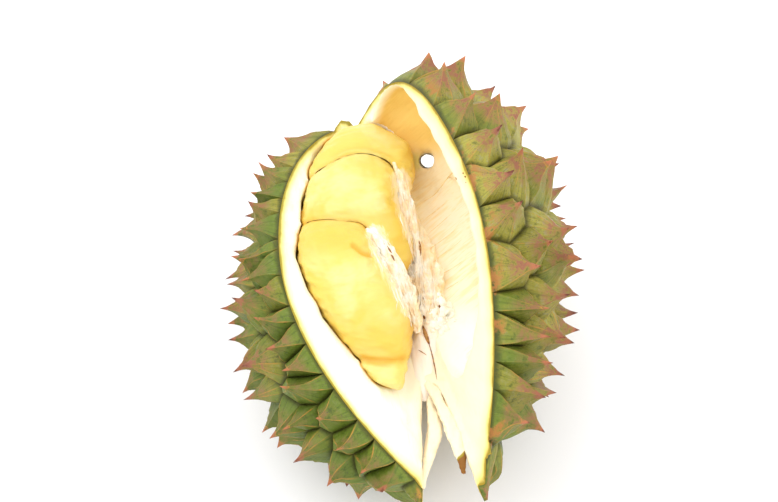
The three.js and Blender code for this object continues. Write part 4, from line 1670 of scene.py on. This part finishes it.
@dataclass(frozen=True)
class Pulp:
    """The three segments of pulp in the left chamber."""

    opening: Opening
    top: Cushion = Cushion((
        (-21, -18), (-17, -11), (-9, -4), (0, 0), (10, 1), (19, -3), (27, -9), (31, -18), (31, -30),
        (24, -42), (6, -47), (-12, -45), (-21, -35), (-23, -26)), 18, 24, 18)
    middle: Cushion = Cushion((
        (-25, -38), (-21, -28), (-13, -21.5), (-4, -17), (4, -15.5), (12, -17), (19, -21), (23, -30),
        (24, -40), (28, -53), (31, -64), (28, -75), (16, -79), (0, -79), (-14, -75), (-24, -64),
        (-27, -50)), 24, 24, 18, 0.3)
    lower: Cushion = Cushion((
        (-27.5, -62), (-25, -54), (-15, -49), (-3, -48.5), (5, -50), (11, -58), (17, -73), (24, -86),
        (29, -100), (29, -111), (27, -120), (18, -123), (7, -121), (-2, -113.5), (-11, -103.5),
        (-20.5, -88), (-26.5, -74)), 24, 24, 18, 0.3)
    end: Cushion = Cushion((
        (4, -117), (9, -114), (20, -114), (27, -118), (26, -126), (24, -132.5), (16, -131.5),
        (8, -126)), 11, 12, 11)
    gap: float = 0.4
    creases: tuple[Crease, ...] = (
        Crease(((-13, -18), (-4, -13.6), (5, -12.4), (15, -14.5), (23, -18.5)), 1.7, 0.9, 0.35),
        Crease(((-1, -62.5), (5, -66.5), (12, -68.5)), 1.3, 1.4, 1),
        Crease(((-3, -57), (4, -54.5), (9, -56)), 2.2, 0.5, 0.2),
        Crease(((-18, -66), (-8, -63), (-1, -62.5)), 3, 0.5, 0.2),
        Crease(((13.4, -61.2), (16, -63), (19, -68.5), (21.5, -74)), 0.7, 1.5, 1.3),
        Crease(((3, -117.2), (13.9, -119.3), (27.5, -117.5)), 2.4, 0.7, 0.85, -60),
    )
    veils: tuple[Crease, ...] = (
        Crease(((7, -52.5), (11, -57.5), (15.5, -67.5), (20, -77), (26, -88), (30, -100)),
               5, 0.5, 1, 4),
        Crease(((8.5, -54), (11, -58), (14, -65), (18.5, -75)), 3, 0.5, 1.45, 10),
        Crease(((21.5, -23.5), (24.5, -31), (26.5, -42), (29, -52), (31, -62)), 5.2, 0.5, 1.05, 4),
    )
    veil_wave: Wave = Wave(0.6, 2.4, 44)
    seam_wave: Wave = Wave(0.35, 26.0, 45)
    bulges: Wave = Wave(0.4, 22.0, 41)
    wrinkles: tuple[Wave, ...] = (Wave(0.30, 5.5, 42), Wave(0.15, 2.6, 43))
    wrinkle_draw: Point = (0.3, 1.0, 0.6)
    seam_reach: float = 8.0
    seam_dark: Span = (0.3, 3.0)
    seam_share: float = 0.6
    seam_limits: Span = (0.15, 1.0)
    seam_fade: float = 0.7
    fade_across: Span = (-6.0, 10.0)
    fade_up: Span = (-34.0, -26.0)
    end_light: float = 1.3
    end_from: float = -108.0
    end_length: float = 14.0
    shade_lift: Span = (14.0, 34.0)
    shade_side: float = 0.35
    shade_across: Span = (8.0, 28.0)
    large_faces: tuple[int, int] = (176, 120)
    small_faces: tuple[int, int] = (96, 64)

    def rooms(self) -> tuple[Cushion, ...]:
        """Returns the forms that the left chamber is hollowed by."""
        return self.top, self.middle, self.lower, self.end

    def segment(self, name: str, own: Sequence[Cushion], others: Sequence[Cushion],
                finish: Material) -> Piece:
        """Builds one segment, cut back where it meets its neighbours.

        Args:
            name: The piece's name.
            own: The forms that make it up.
            others: The neighbours that it gives way to.
            finish: Its material.

        Returns:
            The segment, in metres.
        """
        piece = piece_of(name, own[0].shape(self.opening.place, 0.0, *self.large_faces), [finish])
        for form in own[1:]:
            extra = piece_of("tool", form.shape(self.opening.place, 0.0, *self.small_faces), [finish])
            combine(piece, extra, Cut.JOIN)
            self.ease_seam(piece.data)
        for form in others:
            tool = piece_of("tool", form.shape(self.opening.place, grow=self.gap), [finish])
            combine(piece, tool, Cut.TAKE_AWAY)
        return piece

    @staticmethod
    def ease_seam(mesh: Mesh, bend: float = 20.0, reach: int = 5, passes: int = 10) -> None:
        """Rounds the seam where two forms have been joined.

        Args:
            mesh: The joined segment, changed in place.
            bend: Edges that bend more than this many degrees belong to the seam.
            reach: How many edges to either side are eased as well.
            passes: How often they are eased.
        """
        shape = bmesh.new()
        shape.from_mesh(mesh)
        sharp = [edge for edge in shape.edges if edge.calc_face_angle(0.0) > math.radians(bend)]
        near = {vert for edge in sharp for vert in edge.verts}
        for _ in range(reach):
            near |= {edge.other_vert(vert) for vert in near for edge in vert.link_edges}
        relax_verts(shape, list(near), passes)
        shape.to_mesh(mesh)
        shape.free()

    def build(self, finish: Material) -> list[Piece]:
        """Builds all three segments and works their folds in.

        Args:
            finish: The pulp's material.

        Returns:
            The top, middle and lower segment.
        """
        lower = [self.lower, self.end]
        pieces = [
            self.segment("aril_top_dressed", [self.top], [self.middle, *lower], finish),
            self.segment("aril_middle_dressed", [self.middle], lower, finish),
            self.segment("aril_lower_dressed", lower, [], finish),
        ]
        trees = [tree_of(piece.data) for piece in pieces]
        for piece, tree in zip(pieces, trees):
            self.fold_and_shade(piece.data, [other for other in trees if other is not tree])
        return pieces

    def fold_and_shade(self, mesh: Mesh, others: Iterable[BVHTree]) -> None:
        """Presses creases and soft wrinkles into a segment and stores its painted shade: in the creases,
        along its neighbours and on the side away from the light.

        Args:
            mesh: The segment, changed in place.
            others: Its neighbours, along which shade is painted.
        """
        rows = mesh_rows(mesh)
        local = self.opening.read(rows)
        painted_fold_shade, veil, sunk = np.zeros(len(rows)), np.zeros(len(rows)), np.zeros(len(rows))
        # Creases are pressed in and painted darker, as painted shade.
        for crease in self.creases:
            near = crease.near(local)
            painted_fold_shade, sunk = np.maximum(painted_fold_shade, crease.colour * near), sunk + crease.depth * near
        for band in self.veils:
            near = band.near(local)
            veil = np.maximum(veil, band.colour * near)
            sunk -= band.depth * near * (0.7 + self.veil_wave.at(rows))
        # Painted shade along the seams where the segment meets its neighbours.
        for tree in others:
            gap = np.array([tree.find_nearest(Vector(row), self.seam_reach)[3] or self.seam_reach
                            for row in rows])
            uneven = np.clip(self.seam_share + self.seam_wave.at(rows), *self.seam_limits)
            faded = smooth(local[:, 0], *self.fade_across) * smooth(local[:, 1], *self.fade_up)
            uneven *= 1.0 - self.seam_fade * faded
            painted_fold_shade = np.maximum(painted_fold_shade, uneven * (1.0 - smooth(gap, *self.seam_dark)))
        lit = local[:, 2] + self.end_light * np.clip(self.end_from - local[:, 1], 0.0, self.end_length)
        beside = smooth(local[:, 0], *self.shade_across)
        shade = 1.0 - smooth(lit, *self.shade_lift) + self.shade_side * beside
        swell(mesh, -(sunk + self.bulges.at(rows) + relief(local * self.wrinkle_draw, self.wrinkles)))
        for name, values in (("fold_and_shade", painted_fold_shade), ("veil", veil), ("shade", shade), ("at", local * MM)):
            store(mesh, name, values)


# ---- Torn core and strips ----


@dataclass(frozen=True)
class Band:
    """Strands laid side by side over what lies below them: their middle line as across and up, how
    far they spread to either side, how many there are, and their half thickness."""

    line: Outline
    spread: float
    count: int
    thick: float


@dataclass(frozen=True)
class TornParts:
    """What tore when the halves were parted: the core, a strip that hangs over, a sliver, strands
    of fibre, crumbs and dried bits; one thick dark strand among the bits is a painted shadow in the crevice
    below the core."""

    opening: Opening
    core: Bar = Bar((
        (27, -34, -2, 2, 2), (29, -50, 1.5, 5, 5.5), (31, -66, 5, 8.5, 8.5),
        (34.2, -84, 3.5, 11.5, 9), (37, -98, 2, 11.5, 8.5), (35.5, -111, -1, 8.5, 6),
        (34.8, -123, -3, 6.5, 4.5), (35, -133, -5, 6, 3.5), (35.5, -140, -9, 2, 2)), 0.12)
    veils: tuple[Bar, ...] = (
        Bar(((7.5, -55, 39.5, 1.4, 1), (11.5, -59, 38, 3.6, 1.8),
             (16, -65.5, 34, 5, 2.2), (20.5, -74, 28.5, 5.2, 2.8),
             (25.2, -85, 21.5, 5.6, 3.6), (28.8, -95, 15, 4.8, 4.4),
             (31, -102, 10, 3.6, 4), (32.5, -107, 6, 1.6, 2))),
        Bar(((20.5, -20.5, 34, 1, 1), (23, -27, 32.5, 3.2, 1.6),
             (25.6, -37, 29.5, 3.8, 2), (28.2, -49, 25, 3.8, 2.4),
             (30.4, -60, 20, 3.4, 2.6), (32.6, -70, 13.5, 3.2, 2.6),
             (34.5, -79, 9.5, 2, 2))),
    )
    flap: Bar = Bar((
        (36, -125, -7, 3, 3), (38.4, -131.5, -4, 3, 3.2), (43.5, -141, -2.6, 2.7, 3),
        (48, -151, -2.6, 3.4, 2.8), (51.2, -160.5, -4, 3.6, 2.6), (52.8, -167, -5.5, 2.4, 2),
        (53.4, -172, -7.5, 0.7, 0.8)), 0, 0.6)
    sliver: Bar = Bar((
        (37.6, -130, -15, 2, 5), (38.4, -139, -11, 1.7, 5.5), (40, -148, -10, 3.1, 6),
        (40.1, -155, -10, 3.7, 6), (37.6, -164, -11, 2.8, 5.5), (35.4, -173, -13, 1.7, 4),
        (34.2, -180, -15, 0.6, 1.2)), 0, 0.7)
    bands: tuple[Band, ...] = (
        Band(((8.5, -55.5), (13, -61.5), (18, -70), (23, -81), (28, -95), (31.5, -107)), 4.2, 34, 0.42),
        Band(((22, -23.5), (25, -34), (28, -48), (31, -62), (34, -77)), 3.4, 24, 0.42),
        Band(((33.5, -62), (34.5, -76), (35.5, -90), (35, -104)), 6.5, 34, 0.5),
    )
    threads: tuple[tuple[Outline, float], ...] = (
        (((33.5, -42.6), (37.7, -39.6), (41.9, -37), (45.5, -32.9), (48, -29.3), (50, -27)), 0.4),
        (((38, -66), (44.6, -61.5), (50, -57.5), (54.7, -52.5)), 0.2),
        (((40, -72.5), (46, -68), (51, -64.5), (56, -60)), 0.18),
        (((39, -57), (45, -52), (50.5, -47)), 0.18), (((44, -79), (50, -75.5), (56, -71.5)), 0.2),
        (((37, -49.5), (42, -46), (48, -41)), 0.18), (((46, -86.5), (51, -83.5), (56, -80.5)), 0.2),
    )
    crumb_field: tuple[float, float, float, float] = (39.5, 53, -108, -84)
    crumb_count: int = 30
    bits: tuple[tuple[Outline, float], ...] = (
        (((33.2, -60.8), (33.9, -64), (34.2, -69)), 0.6), (((34.6, -88.3), (35.8, -90.8)), 0.7),
        # The second line here, 1.1 thick, is a painted shadow: a dark strand laid in the crevice below the
        # core.
        (((35.2, -98.4), (36.2, -100.2)), 0.7), (((34.8, -103), (36.3, -107.5), (38.2, -112.8)), 1.1),
        (((37.2, -109.5), (39, -116), (40.6, -123), (41.6, -129.5)), 0.35),
        (((32.4, -115), (34.8, -116.3), (36.8, -117.7)), 0.25),
        (((15.4, -62.4), (18.6, -66.2), (21, -71.5)), 0.6),
        (((43, -93.2), (44, -95.6)), 0.6), (((46, -103.6), (47, -105.2)), 0.6),
        (((54, -28.3), (54.3, -29.1)), 0.45), (((55, -30), (55.1, -31)), 0.45),
        (((55.4, -32.9), (55.5, -33.6)), 0.3), (((50.8, -30.2), (51.4, -31.6)), 0.4),
    )
    core_faces: tuple[int, int] = (128, 220)
    veil_faces: tuple[int, int] = (72, 200)
    strip_faces: tuple[int, int] = (40, 80)
    clean_from: float = -112.0
    torn_to: float = -102.0
    clean_share: float = 0.12
    fibre_draw: Point = (1.0, 0.25, 0.6)
    lumps: tuple[Wave, Wave] = (Wave(0.8, 7.0, 51), Wave(0.7, 5.0, 52))
    fibres: tuple[Wave, ...] = (Wave(0.30, 2.2, 53), Wave(0.16, 1.2, 54))
    strip_depth: float = 9.0
    strip_draw: Point = (1.0, 0.35, 1.0)
    strip_waves: tuple[Wave, Wave] = (Wave(0.3, 4.0, 61), Wave(0.15, 2.5, 62))
    dry_wave: Wave = Wave(1.0, 5.0, 63)
    dry_slant: float = 0.9
    dry_length: float = 5.0
    flap_dry_from: float = -161.0
    sliver_dry_from: float = -178.5
    sight_from: float = 90.0
    sight: float = 160.0
    askew: Point = (0.31, 0.52, -0.79)
    strand_taper: float = 0.6
    strand_points: int = 64
    band_steps: int = 41
    strand_starts: int = 26
    strand_steps: tuple[int, int] = (9, 22)
    strand_stops: int = 7
    strand_drift: float = 0.10
    strand_sizes: Span = (0.5, 1.3)
    crumb_across: Span = (1.3, 2.0)
    crumb_up: Span = (1.5, 2.2)
    crumb_sizes: tuple[float, ...] = (1.4, 2.4, 3.6)
    crumb_odds: tuple[float, ...] = (0.4, 0.35, 0.25)
    crumb_waves: tuple[Wave, ...] = (Wave(0.22, 1.5, 72), Wave(0.08, 0.6, 73))
    crumb_shrink: Span = (0.6, 1.0)
    crumb_squash: Span = (0.7, 1.25)
    crumb_sunk: float = 0.35
    crumb_depth: float = 12.0
    seed: int = 71

    def torn_core(self, finish: Material) -> Piece:
        """Returns the lumpy core between the halves, in millimetres."""
        piece = piece_of("torn_core", self.core.shape(self.opening, *self.core_faces), [finish])
        self.ruffle(piece.data, coarse=1.0)
        return piece

    def ruffle(self, mesh: Mesh, coarse: float) -> None:
        """Raises a torn, fibrous surface and stores where it is torn and where it lies.

        Args:
            mesh: The piece's mesh, changed in place.
            coarse: Share of the deep lumps, beside the fine threads.
        """
        rows = mesh_rows(mesh)
        local = self.opening.read(rows)
        torn = smooth(local[:, 1], self.clean_from, self.torn_to)
        drawn = local * self.fibre_draw
        rise = coarse * (np.abs(self.lumps[0].at(drawn)) + np.abs(self.lumps[1].at(rows)) - 1.0)
        rise += relief(drawn, self.fibres)
        swell(mesh, rise * (self.clean_share + (1.0 - self.clean_share) * torn))
        store(mesh, "torn", torn)
        store(mesh, "at", local * MM)

    def veil_sheets(self, finish: Material) -> Piece:
        """Returns the fibrous sheets that cling between the pulp and the core as one piece."""
        sheets = [bar.shape(self.opening, *self.veil_faces) for bar in self.veils]
        piece = self.gather("pulp_veils", sheets, finish)
        self.ruffle(piece.data, coarse=0.35)
        return piece

    def strip(self, name: str, bar: Bar, finish: Material, dry_from: float) -> Piece:
        """Builds one torn strip of pith.

        Args:
            name: The piece's name.
            bar: Its form.
            finish: Its material.
            dry_from: How far towards the apex its dried tip starts, as an `up` in millimetres.

        Returns:
            The strip, in millimetres.
        """
        piece = piece_of(name, bar.shape(self.opening, *self.strip_faces), [finish])
        rows = mesh_rows(piece.data)
        local = self.opening.read(rows)
        long_wave, short_wave = self.strip_waves
        swell(piece.data, long_wave.at(local * self.strip_draw) + short_wave.at(rows))
        tip = local[local[:, 1] < dry_from]
        slant = -local[:, 1] + self.dry_slant * (local[:, 0] - tip[:, 0].mean()) + self.dry_wave.at(local)
        store(piece.data, "depth", np.full(len(rows), self.strip_depth))
        store(piece.data, "at", local * MM)
        store(piece.data, "dry", smooth(slant, -dry_from, self.dry_length - dry_from))
        return piece

    def drape(self, across: Array, up: Array, trees: Sequence[BVHTree]) -> Array:
        """Returns the places where lines of sight into the opening meet what lies there.

        Args:
            across: Across the opening.
            up: Towards the stem end.
            trees: What may be met.

        Returns:
            Rows of points; a line that meets nothing ends at lift 0.
        """
        starts = self.opening.place(across, up, np.full(len(across), self.sight_from))
        floor = self.opening.place(across, up, np.zeros(len(across)))
        towards = Vector(-self.opening.axes[2])
        met = []
        for start, spare in zip(starts, floor):
            hits = [tree.ray_cast(Vector(start), towards, self.sight) for tree in trees]
            reached = [(hit[3], hit[0]) for hit in hits if hit[0] is not None]
            met.append(min(reached, key=lambda item: item[0])[1][:] if reached else spare)
        return np.array(met)

    def strand(self, points: Array, thick: float, sides: int = 6, steps: int = 16) -> Net:
        """Builds one thin strand, pointed at both ends.

        Args:
            points: Its middle line.
            thick: Its half thickness.
            sides: Faces round it.
            steps: Faces along it.

        Returns:
            The closed strand.
        """
        net, turn, fall = ball(sides, steps)
        line = smooth_line(points, False, self.strand_points)
        ahead = between(unit(np.gradient(line, axis=0)), fall)
        first = unit(np.cross(ahead, self.askew))
        second = np.cross(ahead, first)
        radius = (thick * np.sin(fall * math.pi).clip(0.0) ** self.strand_taper)[:, None]
        angle = (turn * math.tau)[:, None]
        put(net, between(line, fall) + radius * (first * np.cos(angle) + second * np.sin(angle)))
        return net

    def gather(self, name: str, shapes: Iterable[Net],
               finish: Material) -> Piece:
        """Joins many small shapes into one piece, frees them, and stores where the piece lies.

        Args:
            name: The piece's name.
            shapes: The shapes.
            finish: The piece's material.

        Returns:
            The piece.
        """
        whole = bmesh.new()
        for shape in shapes:
            step = bpy.data.meshes.new("step")
            shape.to_mesh(step)
            shape.free()
            whole.from_mesh(step)
            bpy.data.meshes.remove(step)
        piece = piece_of(name, whole, [finish])
        store(piece.data, "at", self.opening.read(mesh_rows(piece.data)) * MM)
        store(piece.data, "torn", np.ones(len(piece.data.vertices)))
        return piece

    def strands(self, finish: Material, trees: Sequence[BVHTree]) -> Piece:
        """Lays the strands of fibre over the pulp, the core and the lining.

        Args:
            finish: Their material.
            trees: What they lie on.

        Returns:
            All strands as one piece, in millimetres.
        """
        random = np.random.default_rng(self.seed)
        shapes = []
        for band in self.bands:
            line = smooth_line(band.line, False, self.band_steps)
            side = unit(np.gradient(line, axis=0))[:, ::-1] * np.array([1.0, -1.0])
            for _ in range(band.count):
                first = random.integers(0, self.strand_starts)
                last = min(self.band_steps - 1, first + random.integers(*self.strand_steps))
                steps = np.linspace(first, last, self.strand_stops).round().astype(int)
                start = random.uniform(-1.0, 1.0)
                wander = np.cumsum(random.normal(0.0, self.strand_drift, self.strand_stops))
                flat = line[steps] + side[steps] * ((start + wander) * band.spread)[:, None]
                places = self.drape(flat[:, 0], flat[:, 1], trees)
                thick = band.thick * random.uniform(*self.strand_sizes)
                arch = 0.5 * thick * np.sin(np.linspace(0.0, math.pi, self.strand_stops))
                shapes.append(self.strand(places + self.opening.axes[2] * arch[:, None], thick))
        return self.gather("fibre_strands", shapes, finish)

    def crumbs(self, finish: Material, trees: Sequence[BVHTree]) -> Piece:
        """Scatters lumpy crumbs of pith beside the core.

        Args:
            finish: Their material.
            trees: What they lie on.

        Returns:
            All crumbs as one piece, in millimetres.
        """
        random = np.random.default_rng(self.seed + 1)
        left, right, low, high = self.crumb_field
        across = left + (right - left) * random.beta(*self.crumb_across, self.crumb_count)
        up = low + (high - low) * random.beta(*self.crumb_up, self.crumb_count)
        shapes = []
        for place in self.drape(across, up, trees):
            size = random.uniform(*self.crumb_shrink) * random.choice(self.crumb_sizes, p=self.crumb_odds)
            lump = bmesh.new()
            bmesh.ops.create_icosphere(lump, subdivisions=3, radius=1.0)
            rows = np.array([vert.co[:] for vert in lump.verts])
            rows *= (1.0 + relief(rows + place, self.crumb_waves))[:, None]
            sunk = self.opening.axes[2] * size * self.crumb_sunk
            put(lump, place - sunk + rows * size * random.uniform(*self.crumb_squash, 3))
            shapes.append(lump)
        piece = self.gather("pith_crumbs", shapes, finish)
        store(piece.data, "depth", np.full(len(piece.data.vertices), self.crumb_depth))
        store(piece.data, "at", np.zeros((len(piece.data.vertices), 3)))
        return piece

    def fine_lines(self, name: str, lines: Iterable[tuple[Outline, float]], finish: Material,
                   trees: Sequence[BVHTree], step: float = 1.2) -> Piece:
        """Lays thin lines on what lies below them.

        Args:
            name: The piece's name.
            lines: Each line as across and up, with its half thickness.
            finish: Their material.
            trees: What they lie on.
            step: How closely they follow it, in millimetres.

        Returns:
            All lines as one piece, in millimetres.
        """
        shapes = []
        for line, thick in lines:
            length = np.linalg.norm(np.subtract(line[-1], line[0]))
            flat = smooth_line(line, False, max(5, round(length / step)))
            shapes.append(self.strand(self.drape(flat[:, 0], flat[:, 1], trees), thick, steps=2 * len(flat)))
        return self.gather(name, shapes, finish)


# ---- Studio ----


@dataclass(frozen=True)
class Studio:
    """Pale floor, soft light and the camera. Metres and degrees."""

    camera_at: Point = (-0.12626, -0.51516, 0.73614)
    camera_turn: Span = (40.0, -12.75)
    lens: float = 77.04
    sensor: float = 36.0
    aim: Point = (0.0, 0.0, 0.07)
    floor_size: float = 6.0
    world_light: float = 1.22
    lights: tuple[tuple[str, Point, float, float], ...] = (
        ("key", (-0.9, 0.35, 1.5), 1.6, 13.0),
        ("fill", (1.3, -0.5, 1.1), 1.6, 9.0),
    )

    def build(self) -> None:
        """Builds the floor, the lights and the camera."""
        scene = bpy.context.scene
        floor = bmesh.new()
        bmesh.ops.create_grid(floor, x_segments=1, y_segments=1, size=self.floor_size / 2.0)
        piece_of("floor", floor, [FloorFinish().material()])

        world = bpy.data.worlds.new("soft_room")
        world.use_nodes = True
        sky = world.node_tree.nodes["Background"]
        sky.inputs["Color"].default_value = (1.0, 1.0, 1.0, 1.0)
        sky.inputs["Strength"].default_value = self.world_light
        scene.world = world
        for name, place, size, power in self.lights:
            lamp = bpy.data.lights.new(name, "AREA")
            lamp.size, lamp.energy = size, power
            light = bpy.data.objects.new(name, lamp)
            light.location = place
            light.rotation_euler = (Vector(self.aim) - Vector(place)).to_track_quat("-Z", "Y").to_euler()
            scene.collection.objects.link(light)

        eye = bpy.data.cameras.new("eye")
        eye.lens = self.lens
        eye.sensor_width = self.sensor
        camera = bpy.data.objects.new("camera", eye)
        camera.location = self.camera_at
        camera.rotation_euler = (math.radians(self.camera_turn[0]), 0.0, math.radians(self.camera_turn[1]))
        scene.collection.objects.link(camera)
        scene.camera = camera
        scene.view_settings.view_transform = "Standard"


# ---- Assembly ----

RIND_BEND, PULP_BEND, FIBRE_BEND = 34.0, 50.0, 60.0  # degrees


def settle(piece: Piece, slot: Slot, bend: float, nodes: Sequence[str] = ()) -> None:
    """Brings a finished piece to metres, puts it on the part's body, hides the solids that it stands for and
    logs its slot.

    Args:
        piece: The piece, in millimetres, its object at the origin.
        slot: The slot of its finish, which is only logged.
        bend: Edges that bend more than this many degrees stay sharp in its shading.
        nodes: The solids that it stands for.
    """
    piece.data.transform(Matrix.Scale(MM, 4))
    piece.data.shade_smooth()
    piece.data.set_sharp_from_angle(angle=math.radians(bend))
    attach(piece, "root")
    if nodes:
        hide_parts(*nodes)
    faces = sum(len(face.vertices) - 2 for face in piece.data.polygons)
    log.info("%s: %d triangles, slot %s", piece.name, faces, slot.value)


def main() -> None:
    """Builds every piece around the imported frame."""
    logging.basicConfig(level=logging.INFO, format="%(name)s %(message)s", stream=sys.stdout)
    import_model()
    form, opening = HuskForm(), Opening()
    rind, pith, lining = RindFinish().material(), PithFinish().material(), LiningFinish().material()
    pulp_finish, core_finish = PulpFinish().material(), CoreFinish().material()
    dry_and_shadow_finish = DryFinish().material()
    thread_finish = DryFinish("lining_threads", pale(244, 210, 142), pale(251, 232, 186)).material()

    pulp = Pulp(opening)
    segments = pulp.build(pulp_finish)
    pulp_trees = [tree_of(piece.data) for piece in segments]
    body = SpinyBody(SpineField(form)).build(rind)
    finishes = {"rind": rind, "pith": pith, "lining": lining}
    husk = Husk(form, opening, pulp.rooms()).build(body, finishes, pulp_trees)
    torn = TornParts(opening)
    core, veils = torn.torn_core(core_finish), torn.veil_sheets(core_finish)
    ground = [*pulp_trees, tree_of(husk.data), tree_of(core.data), tree_of(veils.data)]
    loose = [(veils, Slot.FIBRE), (torn.strands(core_finish, ground), Slot.FIBRE),
             (torn.crumbs(pith, ground), Slot.PITH),
             (torn.fine_lines("dried_bits_and_shadow", torn.bits, dry_and_shadow_finish, ground), Slot.FIBRE),
             (torn.fine_lines("lining_threads", torn.threads, thread_finish, ground), Slot.FIBRE)]

    settle(husk, Slot.RIND, RIND_BEND, ["husk"])
    for piece, node in zip(segments, ("aril_top", "aril_middle", "aril_lower")):
        settle(piece, Slot.PULP, PULP_BEND, [node])
    settle(core, Slot.FIBRE, FIBRE_BEND)
    settle(torn.strip("flap", torn.flap, pith, torn.flap_dry_from), Slot.PITH, FIBRE_BEND)
    settle(torn.strip("sliver", torn.sliver, pith, torn.sliver_dry_from), Slot.PITH, FIBRE_BEND)
    for piece, slot in loose:
        settle(piece, slot, FIBRE_BEND)
    Studio().build()


if __name__ == "__main__":
    main()
